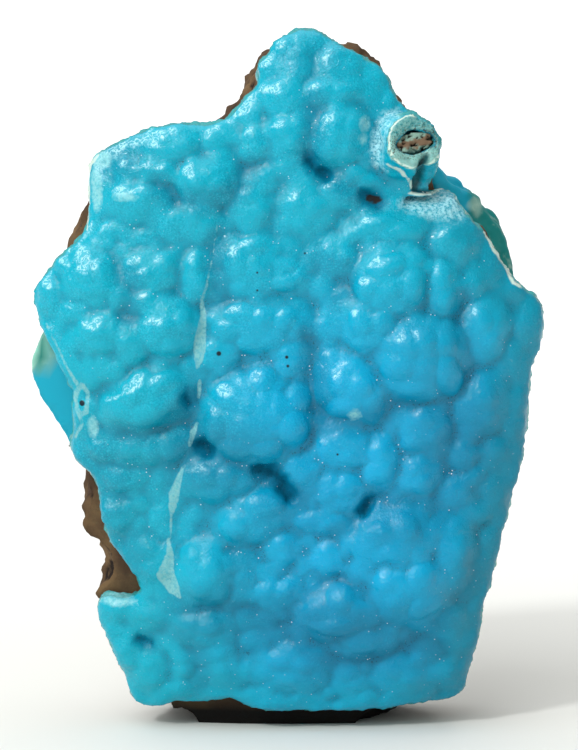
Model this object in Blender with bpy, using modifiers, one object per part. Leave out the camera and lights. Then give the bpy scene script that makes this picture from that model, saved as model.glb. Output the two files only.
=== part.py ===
"""A hemimorphite specimen: a sky-blue botryoidal crust on a piece of brown iron-oxide matrix.

The specimen stands on a flat sawn face, and the crust covers its front. X runs right, Y away from
the crust and Z up. The sizes below are in millimetres, and the objects are in metres.
"""

import math

import bmesh
import bpy
from mathutils import Matrix, Vector, noise

for old in list(bpy.data.objects):
    bpy.data.objects.remove(old, do_unlink=True)

MM = 0.001

# The crust is a curved plate, part of a wide flat ellipsoid, and the lumps stand on it.
PLATE_CENTRE = Vector((0.0, 0.4, 29.7))
PLATE_REACH = Vector((28.8, 9.0, 37.8))
CRUST_THICKNESS = 2.8
GAP = 0.3
# The plate is cut a little outside its outline before its edge is rounded, and the finished
# crust is held to a limit a little further out, so that lumps may swell over the edge.
PLATE_EASE = 0.1
CRUST_LIMIT = 0.25
MATRIX_FRONT = -11.1
MATRIX_BACK = 10.5

# A lump's foot is a little wider than the part of it that shows between its neighbours.
FOOT_SPREAD = 1.12
# A lump is the tip of an ellipsoid that is at most this many lump heights deep.
DEEPEST_CAP = 3.2

# Broad swellings of the crust: across, up, half width, half height, rise.
SWELLS = (
    (-15.2, 36.3, 7.8, 8.7, 1.5),  # left slab
    (11.1, 37.7, 7.5, 8.4, 1.2),  # right cluster
    (9.9, 15.1, 6.2, 7.6, 1.0),  # lower right
    (-7.5, 12.4, 5.4, 5.4, 0.8),  # lower left
    (2.7, 56.2, 6.2, 6.6, 1.0),  # crown
    (-11.0, 49.6, 6.2, 4.9, 1.0),  # shoulder
    (3.7, 10.6, 4.9, 4.5, 0.8),  # lower centre
)

# Lumps: across, up, half width, half height, lean in degrees, rise over half size.
LUMPS = (
    # crown
    (0.4, 60.9, 2.1, 1.9, 0, 0.40), (4.9, 60.1, 2.8, 1.9, 0, 0.20), (0.1, 53.8, 1.9, 1.9, 0, 0.40),
    (4.5, 54.1, 2.5, 2.6, 0, 0.40), (3.8, 57.8, 2.4, 1.1, 0, 0.35), (-0.8, 57.4, 1.7, 1.2, 0, 0.35),
    (-1.9, 59.8, 0.9, 1.0, 0, 0.45), (-3.7, 53.0, 1.3, 1.7, 0, 0.32), (-6.1, 53.3, 1.9, 1.5, 0, 0.28),
    (-2.0, 50.1, 1.3, 1.1, 0, 0.32), (6.5, 50.1, 1.7, 1.3, 0, 0.32), (4.5, 48.5, 2.1, 1.3, -10, 0.32),
    (1.9, 47.2, 2.4, 2.0, 0, 0.28), (-2.7, 47.2, 2.2, 1.5, 0, 0.28), (6.7, 56.9, 1.1, 0.6, 0, 0.30),
    (7.7, 57.2, 1.1, 1.1, 0, 0.30), (1.0, 50.3, 1.3, 1.1, 0, 0.28), (7.6, 52.7, 1.2, 1.8, 0, 0.28),
    (2.0, 61.8, 1.2, 1.1, 0, 0.25), (1.0, 56.6, 0.8, 0.9, 0, 0.25),
    # shoulder
    (-10.0, 53.1, 2.6, 1.8, 0, 0.32), (-12.5, 50.9, 2.7, 1.1, 0, 0.22),
    (-13.8, 48.3, 2.3, 1.6, 0, 0.28), (-7.7, 49.8, 3.0, 2.0, 0, 0.36),
    (-7.5, 46.0, 1.8, 1.9, 0, 0.26), (-10.9, 45.7, 1.4, 1.5, 0, 0.24),
    (-15.4, 45.6, 1.2, 1.2, 0, 0.25), (-12.6, 44.9, 1.3, 1.1, 0, 0.25),
    (-14.1, 43.8, 1.0, 1.0, 0, 0.22), (-16.3, 44.0, 1.0, 0.9, 0, 0.28),
    (-16.0, 51.8, 1.4, 0.9, 0, 0.25), (-16.5, 49.9, 1.1, 1.1, 0, 0.25),
    (-16.9, 47.6, 0.8, 1.2, 0, 0.25),
    # left slab
    (-17.5, 41.4, 2.3, 2.3, 0, 0.36), (-19.5, 42.6, 1.0, 1.0, 0, 0.32),
    (-21.1, 39.8, 1.3, 1.2, 0, 0.36), (-18.9, 38.6, 1.1, 0.9, 0, 0.30),
    (-15.1, 40.0, 1.3, 1.3, 0, 0.28), (-11.8, 41.6, 2.7, 2.4, 0, 0.26),
    (-7.9, 41.9, 1.4, 2.2, 0, 0.34), (-16.7, 36.6, 2.1, 1.9, 0, 0.34),
    (-10.5, 37.0, 2.6, 2.4, 0, 0.36), (-13.9, 35.6, 1.6, 1.5, 0, 0.28),
    (-15.9, 33.4, 1.5, 1.2, 0, 0.26), (-19.3, 35.3, 1.2, 1.6, 0, 0.20),
    (-12.5, 30.4, 4.1, 2.7, 20, 0.40), (-12.6, 26.4, 4.3, 1.6, 10, 0.28),
    (-11.0, 33.1, 1.8, 1.1, 10, 0.25), (-18.0, 32.4, 1.0, 1.6, 0, 0.20),
    (-18.1, 28.2, 1.2, 2.1, 0, 0.20), (-18.3, 25.7, 1.2, 1.0, 0, 0.25),
    # centre
    (-3.3, 42.4, 3.1, 3.2, 0, 0.22), (2.7, 40.7, 1.3, 1.3, 0, 0.25), (-2.7, 38.0, 4.8, 1.8, 0, 0.22),
    (3.3, 37.4, 1.1, 1.3, 0, 0.25), (-5.9, 34.7, 1.8, 1.5, 0, 0.25), (-0.1, 34.6, 1.7, 1.8, 0, 0.32),
    (-3.0, 34.6, 1.3, 1.2, 0, 0.20), (-2.9, 29.0, 4.8, 4.2, 0, 0.50), (-6.6, 23.5, 3.4, 2.1, 0, 0.40),
    (1.0, 24.4, 1.7, 1.8, 0, 0.36), (4.8, 25.9, 2.1, 2.1, 0, 0.34), (7.9, 24.9, 1.7, 2.4, 0, 0.38),
    (4.3, 22.4, 2.3, 1.7, 0, 0.36), (3.6, 20.1, 2.7, 1.2, 0, 0.20), (2.0, 31.8, 0.9, 1.1, 0, 0.25),
    # right cluster
    (4.1, 43.5, 1.8, 1.3, 20, 0.32), (8.5, 45.5, 3.7, 1.9, 0, 0.22), (9.2, 42.9, 3.3, 2.1, 0, 0.30),
    (7.1, 40.4, 1.6, 1.5, 0, 0.30), (10.8, 40.3, 1.9, 1.6, 0, 0.28), (13.8, 40.7, 1.4, 2.3, 0, 0.34),
    (16.3, 41.4, 1.1, 1.4, 0, 0.30), (14.8, 44.6, 2.0, 1.7, 0, 0.32), (7.0, 37.3, 2.3, 1.9, 0, 0.32),
    (11.6, 34.3, 3.7, 3.7, 0, 0.42), (5.7, 31.8, 3.2, 3.0, 0, 0.44), (4.1, 34.3, 1.6, 1.2, 0, 0.25),
    (17.5, 36.7, 2.0, 2.7, -8, 0.40), (17.1, 29.9, 2.2, 3.0, -5, 0.40),
    (21.3, 37.4, 1.4, 2.3, 0, 0.25), (19.9, 28.4, 1.1, 1.6, 0, 0.25), (20.2, 40.0, 1.6, 1.1, 0, 0.22),
    (12.9, 28.4, 2.0, 2.0, 0, 0.30), (10.8, 27.2, 1.5, 1.6, 0, 0.34), (11.5, 23.4, 1.8, 1.8, 0, 0.36),
    (15.5, 25.8, 1.2, 1.4, 0, 0.34), (18.3, 25.5, 1.4, 1.4, 0, 0.28), (16.2, 23.3, 1.1, 1.2, 0, 0.30),
    (15.0, 22.1, 1.3, 1.4, 0, 0.32), (16.6, 20.1, 1.3, 1.1, 0, 0.26), (19.5, 33.9, 1.5, 2.0, 0, 0.20),
    (18.4, 22.3, 1.1, 1.2, 0, 0.24),
    # lower
    (10.6, 14.7, 5.4, 5.4, 0, 0.40), (5.4, 17.5, 1.2, 1.2, 0, 0.30), (3.5, 16.3, 1.3, 1.8, 0, 0.38),
    (4.4, 10.4, 3.9, 2.9, 0, 0.36), (8.6, 9.5, 1.6, 1.1, 0, 0.25), (14.6, 10.2, 1.4, 2.0, 0, 0.25),
    (-2.4, 19.9, 3.9, 2.5, 0, 0.34), (-3.9, 15.8, 1.8, 2.5, 0, 0.22), (-0.5, 17.5, 1.6, 1.6, 0, 0.36),
    (-0.4, 13.3, 2.1, 1.6, 0, 0.34), (-7.7, 15.2, 2.5, 2.9, 20, 0.42),
    (-7.5, 9.5, 3.0, 1.8, -15, 0.32), (-10.3, 6.7, 1.7, 2.5, 0, 0.32),
    (-14.2, 7.3, 1.3, 1.3, 0, 0.30), (-12.9, 5.0, 1.6, 1.6, 0, 0.32), (-12.0, 10.5, 1.4, 1.2, 0, 0.25),
    (-15.1, 12.2, 1.4, 1.3, 0, 0.20), (-6.0, 6.1, 2.0, 2.3, 0, 0.34), (-2.1, 7.4, 1.5, 1.3, 0, 0.28),
    (-0.8, 5.0, 3.4, 2.7, 0, 0.34), (3.7, 4.2, 2.2, 1.8, 0, 0.30), (9.5, 4.7, 3.1, 2.0, 0, 0.30),
    (15.0, 5.1, 1.5, 1.2, 0, 0.30), (16.1, 7.9, 1.3, 1.3, 0, 0.22), (-14.0, 22.6, 2.1, 1.4, 0, 0.25),
    (-15.1, 20.0, 1.3, 1.2, 0, 0.25), (-11.9, 19.7, 1.3, 2.0, 0, 0.22),
    (-8.4, 19.8, 1.6, 1.4, 0, 0.20), (-11.8, 16.3, 1.8, 2.3, 0, 0.22), (2.0, 13.9, 1.1, 1.2, 0, 0.20),
    (17.8, 17.2, 0.9, 1.6, 0, 0.22), (17.1, 13.1, 0.8, 1.8, 0, 0.20), (-9.4, 3.9, 1.8, 1.1, 0, 0.22),
    (6.4, 4.8, 1.4, 1.4, 0, 0.24), (12.5, 3.8, 1.6, 1.1, 0, 0.22), (-9.7, 12.4, 1.3, 0.9, 0, 0.20),
    (-15.7, 17.3, 0.9, 0.9, 0, 0.20),
)

# Lesser lumps that stand on those, in the same terms.
SUB_LUMPS = (
    # crown
    (-0.5, 54.4, 0.8, 0.8, 0, 0.16), (0.8, 54.6, 0.9, 0.8, 0, 0.16), (3.4, 55.1, 1.1, 1.0, 0, 0.16),
    (5.6, 54.6, 1.1, 1.1, 0, 0.16), (4.5, 52.7, 1.2, 0.9, 0, 0.16),
    # left slab
    (-18.4, 42.1, 1.2, 1.1, 0, 0.14), (-16.7, 41.8, 1.1, 1.1, 0, 0.14),
    (-12.7, 42.3, 1.2, 1.1, 0, 0.14), (-10.9, 40.9, 1.2, 1.1, 0, 0.14),
    (-11.4, 37.9, 1.2, 1.1, 0, 0.16), (-9.6, 36.7, 1.2, 1.1, 0, 0.16),
    (-17.5, 37.1, 1.0, 0.9, 0, 0.14), (-15.9, 36.2, 1.0, 0.9, 0, 0.14),
    (-13.6, 31.3, 1.8, 1.2, 20, 0.12), (-10.9, 30.3, 1.8, 1.2, 20, 0.12),
    (-15.0, 26.0, 1.4, 1.1, 0, 0.14), (-11.0, 26.8, 1.6, 1.1, 0, 0.14),
    # centre
    (-3.3, 44.4, 2.1, 1.1, 0, 0.20), (-0.4, 41.3, 1.9, 1.1, 0, 0.25), (-5.0, 42.0, 1.3, 1.3, 0, 0.20),
    (-6.4, 37.3, 1.1, 1.0, 0, 0.22), (-3.0, 38.0, 1.4, 1.1, 0, 0.20), (1.0, 38.0, 1.3, 1.1, 0, 0.22),
    (-4.8, 31.9, 2.7, 1.3, 0, 0.16), (0.5, 31.6, 1.5, 1.3, 0, 0.22), (0.8, 28.3, 1.5, 1.9, 0, 0.22),
    (-6.3, 28.2, 1.2, 2.1, 0, 0.15), (-3.0, 26.0, 2.7, 1.1, 0, 0.15), (-7.5, 23.9, 1.2, 1.1, 0, 0.16),
    (-5.1, 23.0, 1.2, 1.1, 0, 0.14),
    # right cluster
    (14.1, 33.0, 1.2, 2.1, 0, 0.18), (9.8, 35.5, 1.6, 1.4, 0, 0.16), (12.7, 35.9, 1.2, 1.2, 0, 0.16),
    (11.2, 32.8, 1.6, 1.2, 0, 0.14), (4.7, 32.7, 1.2, 1.1, 0, 0.16), (6.8, 31.4, 1.2, 1.2, 0, 0.16),
    (17.0, 31.2, 1.2, 1.1, 0, 0.14), (17.3, 28.7, 1.2, 1.1, 0, 0.14), (17.3, 37.8, 1.0, 1.1, 0, 0.14),
    # lower
    (10.8, 14.0, 3.4, 3.6, 0, 0.16), (8.8, 18.9, 3.1, 1.6, 0, 0.18),
    (14.8, 16.7, 1.2, 3.4, -15, 0.22), (4.1, 12.5, 1.4, 1.2, 0, 0.22), (2.9, 10.1, 2.3, 1.1, 0, 0.18),
    (6.9, 8.5, 1.8, 1.1, 0, 0.18), (-0.4, 21.7, 1.8, 1.2, 0, 0.20), (-4.4, 19.9, 1.4, 1.2, 0, 0.16),
    (-8.6, 16.2, 1.2, 1.4, 0, 0.14), (-6.7, 14.5, 1.2, 1.4, 0, 0.14), (-3.5, 6.1, 1.4, 1.3, 0, 0.18),
    (-1.0, 5.8, 1.6, 1.3, 0, 0.18), (1.0, 4.0, 1.6, 1.1, 0, 0.16), (12.1, 16.1, 1.4, 1.4, 0, 0.12),
    (9.5, 12.4, 1.6, 1.3, 0, 0.12), (9.5, 14.8, 1.2, 1.2, 0, 0.12), (-8.0, 9.8, 1.3, 1.1, 0, 0.14),
    (8.6, 4.7, 1.3, 1.1, 0, 0.14),
)

# The front crust's broken edge, seen from the front: across, up, clockwise from the crown.
CRUST_OUTLINE = (
    (1.4, 63.1), (2.9, 62.7), (4.5, 61.5), (6.3, 60.6), (8.1, 59.6), (8.9, 58.6), (9.1, 57.3),
    (9.9, 56.3), (10.9, 55.7), (12.4, 54.6), (13.1, 53.2), (12.9, 51.4), (12.5, 50.1), (12.1, 48.8),
    (13.9, 48.9), (14.6, 48.4), (15.9, 46.3), (17.1, 45.3), (18.0, 44.0), (18.4, 42.9), (19.1, 42.0),
    (19.8, 41.1), (20.7, 40.0), (21.6, 39.6), (22.4, 38.9), (22.8, 37.1), (22.5, 34.8), (21.6, 33.3),
    (21.4, 31.2), (21.2, 27.5), (20.8, 24.8), (20.2, 22.5), (19.6, 19.6), (19.0, 18.4), (18.9, 16.6),
    (18.3, 14.6), (18.2, 13.4), (17.4, 11.6), (17.3, 9.9), (16.8, 7.4), (16.2, 5.1), (15.7, 3.1),
    (14.6, 2.5), (11.9, 2.3), (10.1, 2.1), (8.7, 1.8), (-1.7, 1.8), (-3.4, 2.1), (-4.4, 2.6),
    (-5.4, 3.3), (-6.4, 2.8), (-7.6, 2.5), (-9.9, 2.6), (-11.2, 2.1), (-13.1, 1.8), (-13.9, 2.3),
    (-14.4, 3.4), (-14.9, 4.9), (-15.6, 6.3), (-16.1, 7.9), (-17.1, 9.9), (-17.2, 11.4),
    (-16.7, 12.5), (-14.8, 12.1), (-12.8, 12.5), (-13.3, 13.9), (-14.8, 16.0), (-15.9, 17.2),
    (-16.5, 18.9), (-16.8, 20.7), (-17.0, 22.5), (-17.3, 23.6), (-18.4, 24.2), (-19.2, 24.8),
    (-19.5, 26.2), (-19.0, 28.5), (-19.2, 29.6), (-18.9, 31.2), (-19.6, 32.5), (-20.4, 33.9),
    (-21.0, 35.3), (-21.8, 36.8), (-22.5, 38.3), (-22.7, 39.3), (-22.1, 40.7), (-21.0, 42.0),
    (-19.7, 43.4), (-18.3, 44.7), (-17.7, 46.1), (-17.7, 50.5), (-17.5, 51.6), (-16.8, 52.2),
    (-15.1, 52.9), (-12.4, 54.2), (-9.7, 54.7), (-7.5, 54.6), (-5.3, 55.1), (-4.4, 56.4),
    (-3.3, 57.5), (-2.4, 58.2), (-2.9, 59.3), (-2.8, 60.2), (-2.0, 60.5), (-1.5, 60.5),
    (-1.5, 61.4), (-0.8, 62.2), (0.1, 62.7),
)

# The rock's own outline, also seen from the front. It runs below the sawn face.
MATRIX_OUTLINE = (
    (0.1, 61.6), (2.8, 62.0), (5.0, 62.0), (6.2, 61.8), (7.1, 61.0), (7.8, 59.9), (8.6, 57.8),
    (9.3, 55.6), (10.4, 53.6), (12.2, 51.8), (13.0, 49.6), (14.1, 47.8), (15.6, 45.8),
    (17.2, 43.8), (18.3, 41.8), (19.3, 39.7), (20.7, 37.9), (21.3, 36.1), (21.0, 34.2),
    (20.0, 32.4), (19.9, 26.5), (19.0, 22.3), (18.3, 18.6), (17.6, 15.8), (17.1, 13.1),
    (16.3, 10.7), (15.8, 7.0), (15.2, 4.2), (14.6, 2.4),
    (13.4, 1.2), (11.2, 0.3), (9.0, -1.4), (-8.0, -1.4), (-10.4, 0.2), (-12.6, 1.3), (-13.6, 3.3),
    (-14.7, 6.1),
    (-16.0, 8.4), (-16.9, 10.7), (-17.2, 13.3), (-16.9, 15.6), (-17.4, 16.6), (-18.3, 18.2),
    (-18.7, 20.9), (-18.7, 22.8), (-19.5, 23.7), (-20.3, 24.4), (-20.8, 25.9), (-21.0, 27.8),
    (-21.1, 35.6), (-20.7, 39.3), (-20.0, 41.8), (-19.5, 43.2), (-19.5, 44.1), (-18.7, 44.3),
    (-17.9, 46.1), (-17.8, 47.9), (-17.4, 50.0), (-16.1, 51.3), (-12.5, 52.9), (-8.0, 54.3),
    (-6.7, 54.8), (-5.3, 55.9), (-4.0, 57.6), (-2.8, 58.7), (-2.1, 59.9), (-1.3, 60.8),
)

# Fracture faces on the rock's back and sides: a point on the face, and the way it faces.
FRACTURES = (
    ((0.0, 9.3, 27.2), (0.10, 1.0, -0.06)),
    ((-4.0, 8.1, 51.2), (-0.25, 1.0, 0.42)),
    ((8.0, 7.7, 50.2), (0.42, 1.0, 0.38)),
    ((15.5, 7.1, 31.2), (1.0, 0.80, 0.10)),
    ((12.5, 8.5, 13.2), (0.75, 1.0, -0.25)),
    ((-16.0, 6.7, 33.2), (-1.0, 0.72, 0.05)),
    ((-12.0, 8.3, 15.2), (-0.62, 1.0, -0.30)),
    ((2.0, 3.9, 60.0), (0.10, 0.75, 1.0)),
    ((-13.5, 4.4, 49.7), (-0.8, 0.55, 0.9)),
)

# The second layer of crust on the rock's upper right flank, and the one behind the left edge.
# Each has the line where it meets the rock, its own outline, and its front and back.
RIGHT_SEAT = (
    (11.6, 50.8), (12.4, 49.0), (14.1, 47.1), (15.6, 45.7), (17.3, 43.7), (18.4, 41.7), (19.3, 39.1),
)
RIGHT_RIM = (
    (20.3, 39.8), (20.2, 41.4), (19.8, 42.8), (19.1, 44.6), (17.7, 46.4), (16.4, 47.8), (14.4, 49.1),
    (13.6, 50.0), (12.9, 51.2),
)
RIGHT_DEPTH = (-0.9, 6.7)
RIGHT_BUMPS = (
    (12.9, 0.9, 50.6, 0.9), (13.9, 0.5, 49.2, 1.0), (15.2, 2.5, 48.2, 1.3), (16.9, 0.9, 46.7, 1.2),
    (18.4, 3.1, 45.1, 1.4),
    (19.2, 0.5, 43.4, 1.1), (19.7, 2.9, 41.8, 1.2), (17.4, 4.9, 45.8, 1.2), (14.6, 4.9, 48.2, 1.0),
    (19.4, 5.1, 42.4, 1.0), (19.8, 0.3, 40.5, 0.9),
)
LEFT_SEAT = ((-20.7, 36.9), (-19.8, 34.5), (-18.9, 32.5), (-18.3, 29.5), (-18.4, 25.2))
LEFT_RIM = (
    (-19.4, 25.7), (-20.0, 26.5), (-20.5, 27.3), (-21.0, 28.2), (-21.5, 28.9), (-22.1, 29.7),
    (-22.6, 30.6), (-23.0, 31.5), (-23.1, 32.3), (-22.9, 33.2), (-22.4, 34.8), (-21.9, 36.2),
)
LEFT_DEPTH = (-6.0, 2.6)
LEFT_BUMPS = (
    (-22.3, -0.8, 33.0, 1.0), (-22.0, 0.2, 31.2, 1.2), (-20.9, -0.9, 29.4, 1.2), (-20.0, 0.1, 27.5, 1.0),
)

# The broken stub at the upper right: its root, the way it points, and the rock core inside it.
STUB_ROOT = Vector((10.5, -5.3, 52.6))
STUB_AXIS = Vector((0.16, -0.95, 0.26)).normalized()
STUB_LENGTH = 3.6
STUB_END_RADIUS = 2.5
STUB_ROOT_RADIUS = 3.4
CORE_HALF_WIDTH = 1.35
CORE_HALF_HEIGHT = 0.75
CORE_TILT = 12.0
CORE_RECESS = 0.35

# The slanting break in the crust under the stub: its middle, width and slope.
SHELF_MIDDLE = Vector((13.0, -6.3, 47.8))
SHELF_WIDTH = 6.0
SHELF_DEPTH = 9.0
SHELF_OPENING = 2.2
SHELF_SLOPE = 30.0

# The rock's roughness: broad hollows, ridges between them, and pits.
BROAD_SIZE = 7.5
BROAD_HEIGHT = 1.5
RIDGE_SIZE = 3.2
RIDGE_HEIGHT = 0.5
PIT_SPACING = 7.0
PIT_SHARE = 0.42
PIT_DEPTH = 1.6

# Facets: the remeshing cell, the smoothing passes and the share of faces kept.
PLATE_CELL = 0.7
CRUST_CELL = 0.45
ROCK_CELL = 0.8
PATCH_CELL = 0.45
CRUST_KEPT = 0.068
ROCK_KEPT = 0.085
PATCH_KEPT = 0.14

specimen = bpy.data.collections.new("hemimorphite_specimen")
cutters = bpy.data.collections.new("cutters")
bpy.context.scene.collection.children.link(specimen)
bpy.context.scene.collection.children.link(cutters)


def linear(hex_colour):
    """The linear colour of an sRGB hex value."""
    parts = [int(hex_colour[i : i + 2], 16) / 255 for i in (0, 2, 4)]
    return [p / 12.92 if p <= 0.04045 else ((p + 0.055) / 1.055) ** 2.4 for p in parts] + [1.0]


def plain_material(name, hex_colour, roughness):
    material = bpy.data.materials.new(name)
    material.use_nodes = True
    shader = material.node_tree.nodes["Principled BSDF"]
    shader.inputs["Base Color"].default_value = linear(hex_colour)
    shader.inputs["Roughness"].default_value = roughness
    shader.inputs["Metallic"].default_value = 0.0
    return material


def object_of(bm, name, collection):
    """A new object with this bmesh, shaded smooth. A cutter is kept out of the render."""
    mesh = bpy.data.meshes.new(name)
    bm.to_mesh(mesh)
    bm.free()
    mesh.shade_smooth()
    made = bpy.data.objects.new(name, mesh)
    collection.objects.link(made)
    if collection is cutters:
        made.hide_render = True
        made.display_type = "WIRE"
    return made


def applied(made):
    """The object's mesh with its modifiers applied. The object itself is removed."""
    bpy.context.view_layer.update()
    graph = bpy.context.evaluated_depsgraph_get()
    mesh = bpy.data.meshes.new_from_object(made.evaluated_get(graph))
    bpy.data.objects.remove(made, do_unlink=True)
    return mesh


def remesh(made, cell, smoothing, passes):
    """One skin round all of the object's overlapping shapes, with its corners eased."""
    skin = made.modifiers.new("one_skin", "REMESH")
    skin.mode = "VOXEL"
    skin.voxel_size = cell * MM
    ease = made.modifiers.new("ease", "SMOOTH")
    ease.factor = smoothing
    ease.iterations = passes


def thin_out(made, share):
    fewer = made.modifiers.new("fewer_faces", "DECIMATE")
    fewer.ratio = share


def cut(made, operation, other):
    boolean = made.modifiers.new(operation.lower(), "BOOLEAN")
    boolean.operation = operation
    boolean.solver = "EXACT"
    boolean.object = other


def prism(points, front, back):
    """A bmesh of an outline in X and Z, extruded from front to back along Y."""
    bm = bmesh.new()
    corners = [bm.verts.new((x * MM, front * MM, z * MM)) for x, z in points]
    face = bm.faces.new(corners)
    grown = bmesh.ops.extrude_face_region(bm, geom=[face])
    far = [item for item in grown["geom"] if isinstance(item, bmesh.types.BMVert)]
    bmesh.ops.translate(bm, vec=(0, (back - front) * MM, 0), verts=far)
    bmesh.ops.triangulate(bm, faces=bm.faces)
    bmesh.ops.recalc_face_normals(bm, faces=bm.faces)
    return bm


def ball(bm, centre, reach, turn=Matrix.Identity(4), fineness=3):
    """An ellipsoid added to the bmesh: its centre and half sizes in millimetres."""
    place = Matrix.Translation(centre * MM) @ turn @ Matrix.Diagonal((*(reach * MM), 1.0))
    bmesh.ops.create_icosphere(bm, subdivisions=fineness, radius=1.0, matrix=place)


def grown_outline(points, step):
    """The outline moved outwards by step, for points that run clockwise."""
    moved = []
    for before, here, after in zip(points[-1:] + points[:-1], points, points[1:] + points[:1]):
        along = Vector((after[0] - before[0], after[1] - before[1])).normalized()
        moved.append((here[0] - along.y * step, here[1] + along.x * step))
    return tuple(moved)


class Ground:
    """The front of what lumps are laid on, as ellipsoids."""

    def __init__(self):
        self.bodies = [(PLATE_CENTRE, PLATE_REACH, 1.0, 0.0)]
        self.laid = []

    def settle(self):
        """Makes all that has been laid part of the ground for what comes next."""
        self.bodies += self.laid
        self.laid = []

    def front(self, x, z):
        nearest = PLATE_CENTRE.y
        for centre, reach, along, aside in self.bodies:
            across = ((x - centre.x) * along + (z - centre.z) * aside) / reach.x
            upward = ((z - centre.z) * along - (x - centre.x) * aside) / reach.z
            inside = 1.0 - across * across - upward * upward
            if inside > 0.0:
                nearest = min(nearest, centre.y - reach.y * math.sqrt(inside))
        return nearest

    def facing(self, x, z):
        """Half way between straight forwards and the way the ground faces."""
        step = 0.3
        lean_x = (self.front(x + step, z) - self.front(x - step, z)) / (2 * step)
        lean_z = (self.front(x, z + step) - self.front(x, z - step)) / (2 * step)
        return (Vector((lean_x, -1.0, lean_z)).normalized() + Vector((0, -1, 0))).normalized()

    def lay(self, bm, x, z, half_width, half_height, lean, height):
        """A cap of this foot and height on the ground, as the tip of a larger ellipsoid."""
        foot = math.sqrt(half_width * half_height)
        round_depth = (foot * foot + height * height) / (2 * height)
        depth = min(round_depth, DEEPEST_CAP * height)
        spread = 1.0 / math.sqrt(1.0 - (1.0 - height / depth) ** 2)
        reach = Vector((spread * half_width, depth, spread * half_height))
        surface = Vector((x, self.front(x, z), z))
        centre = surface + self.facing(x, z) * (height - depth)
        angle = math.radians(lean)
        ball(bm, centre, reach, Matrix.Rotation(-angle, 4, "Y"), 4 if foot > 2.0 else 3)
        self.laid.append((centre, reach, math.cos(angle), math.sin(angle)))


def spread_out(lumps):
    """Each lump with the foot and the height that it is laid with, the largest first."""
    for x, z, half_width, half_height, lean, rise in sorted(lumps, key=lambda lump: -lump[2] * lump[3]):
        wide = half_width * FOOT_SPREAD
        tall = half_height * FOOT_SPREAD
        yield x, z, wide, tall, lean, rise * math.sqrt(wide * tall)


def bed(clearance):
    """The rock's side of the crust: the inner ellipsoid, drawn out straight behind its widest ring."""
    bm = bmesh.new()
    reach = PLATE_REACH - Vector((1, 1, 1)) * (CRUST_THICKNESS + clearance)
    place = Matrix.Translation(PLATE_CENTRE * MM) @ Matrix.Diagonal((*(reach * MM), 1.0))
    place = place @ Matrix.Rotation(math.pi / 2, 4, "X")
    bmesh.ops.create_uvsphere(bm, u_segments=56, v_segments=28, radius=1.0, matrix=place)
    for vert in bm.verts:
        if vert.co.y > (PLATE_CENTRE.y + 0.01) * MM:
            vert.co.y = (MATRIX_BACK + 8.0) * MM
    bmesh.ops.recalc_face_normals(bm, faces=bm.faces)
    return bm


def stub_turn():
    return STUB_AXIS.to_track_quat("Z", "Y").to_matrix().to_4x4()


def core_rod(clearance):
    """The rock core of the stub, or the hole for it. It starts inside the rock."""
    bm = bmesh.new()
    start = -5.0
    end = STUB_LENGTH - CORE_RECESS + (6.0 if clearance else 0.0)
    middle = STUB_ROOT + STUB_AXIS * ((start + end) / 2)
    place = Matrix.Translation(middle * MM) @ stub_turn()
    place = place @ Matrix.Rotation(math.radians(CORE_TILT), 4, "Z")
    place = place @ Matrix.Diagonal((CORE_HALF_WIDTH + clearance, CORE_HALF_HEIGHT + clearance, 1, 1))
    bmesh.ops.create_cone(
        bm,
        cap_ends=True,
        segments=16,
        radius1=MM,
        radius2=MM,
        depth=(end - start) * MM,
        matrix=place,
    )
    return bm


def shelf_cutter():
    """A block whose underside is the slanting break below the stub."""
    bm = bmesh.new()
    place = Matrix.Translation(SHELF_MIDDLE * MM)
    place = place @ Matrix.Rotation(math.radians(SHELF_SLOPE), 4, "X")
    place = place @ Matrix.Diagonal((SHELF_WIDTH * MM, SHELF_DEPTH * MM, SHELF_OPENING * MM, 1))
    bmesh.ops.create_cube(bm, size=1.0, matrix=place @ Matrix.Translation((0, 0, 0.5)))
    return bm


def crust_plate():
    """The curved plate within the crust's outline, with rounded edges."""
    bm = bmesh.new()
    place = Matrix.Translation(PLATE_CENTRE * MM) @ Matrix.Diagonal((*(PLATE_REACH * MM), 1.0))
    place = place @ Matrix.Rotation(math.pi / 2, 4, "X")
    bmesh.ops.create_uvsphere(bm, u_segments=96, v_segments=64, radius=1.0, matrix=place)
    plate = object_of(bm, "plate", cutters)
    outline = grown_outline(CRUST_OUTLINE, PLATE_EASE)
    edge = object_of(prism(outline, -14.0, PLATE_CENTRE.y + 2.0), "plate_edge", cutters)
    cut(plate, "INTERSECT", edge)
    remesh(plate, PLATE_CELL, 0.5, 6)
    mesh = applied(plate)
    bpy.data.objects.remove(edge, do_unlink=True)
    return mesh


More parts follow.
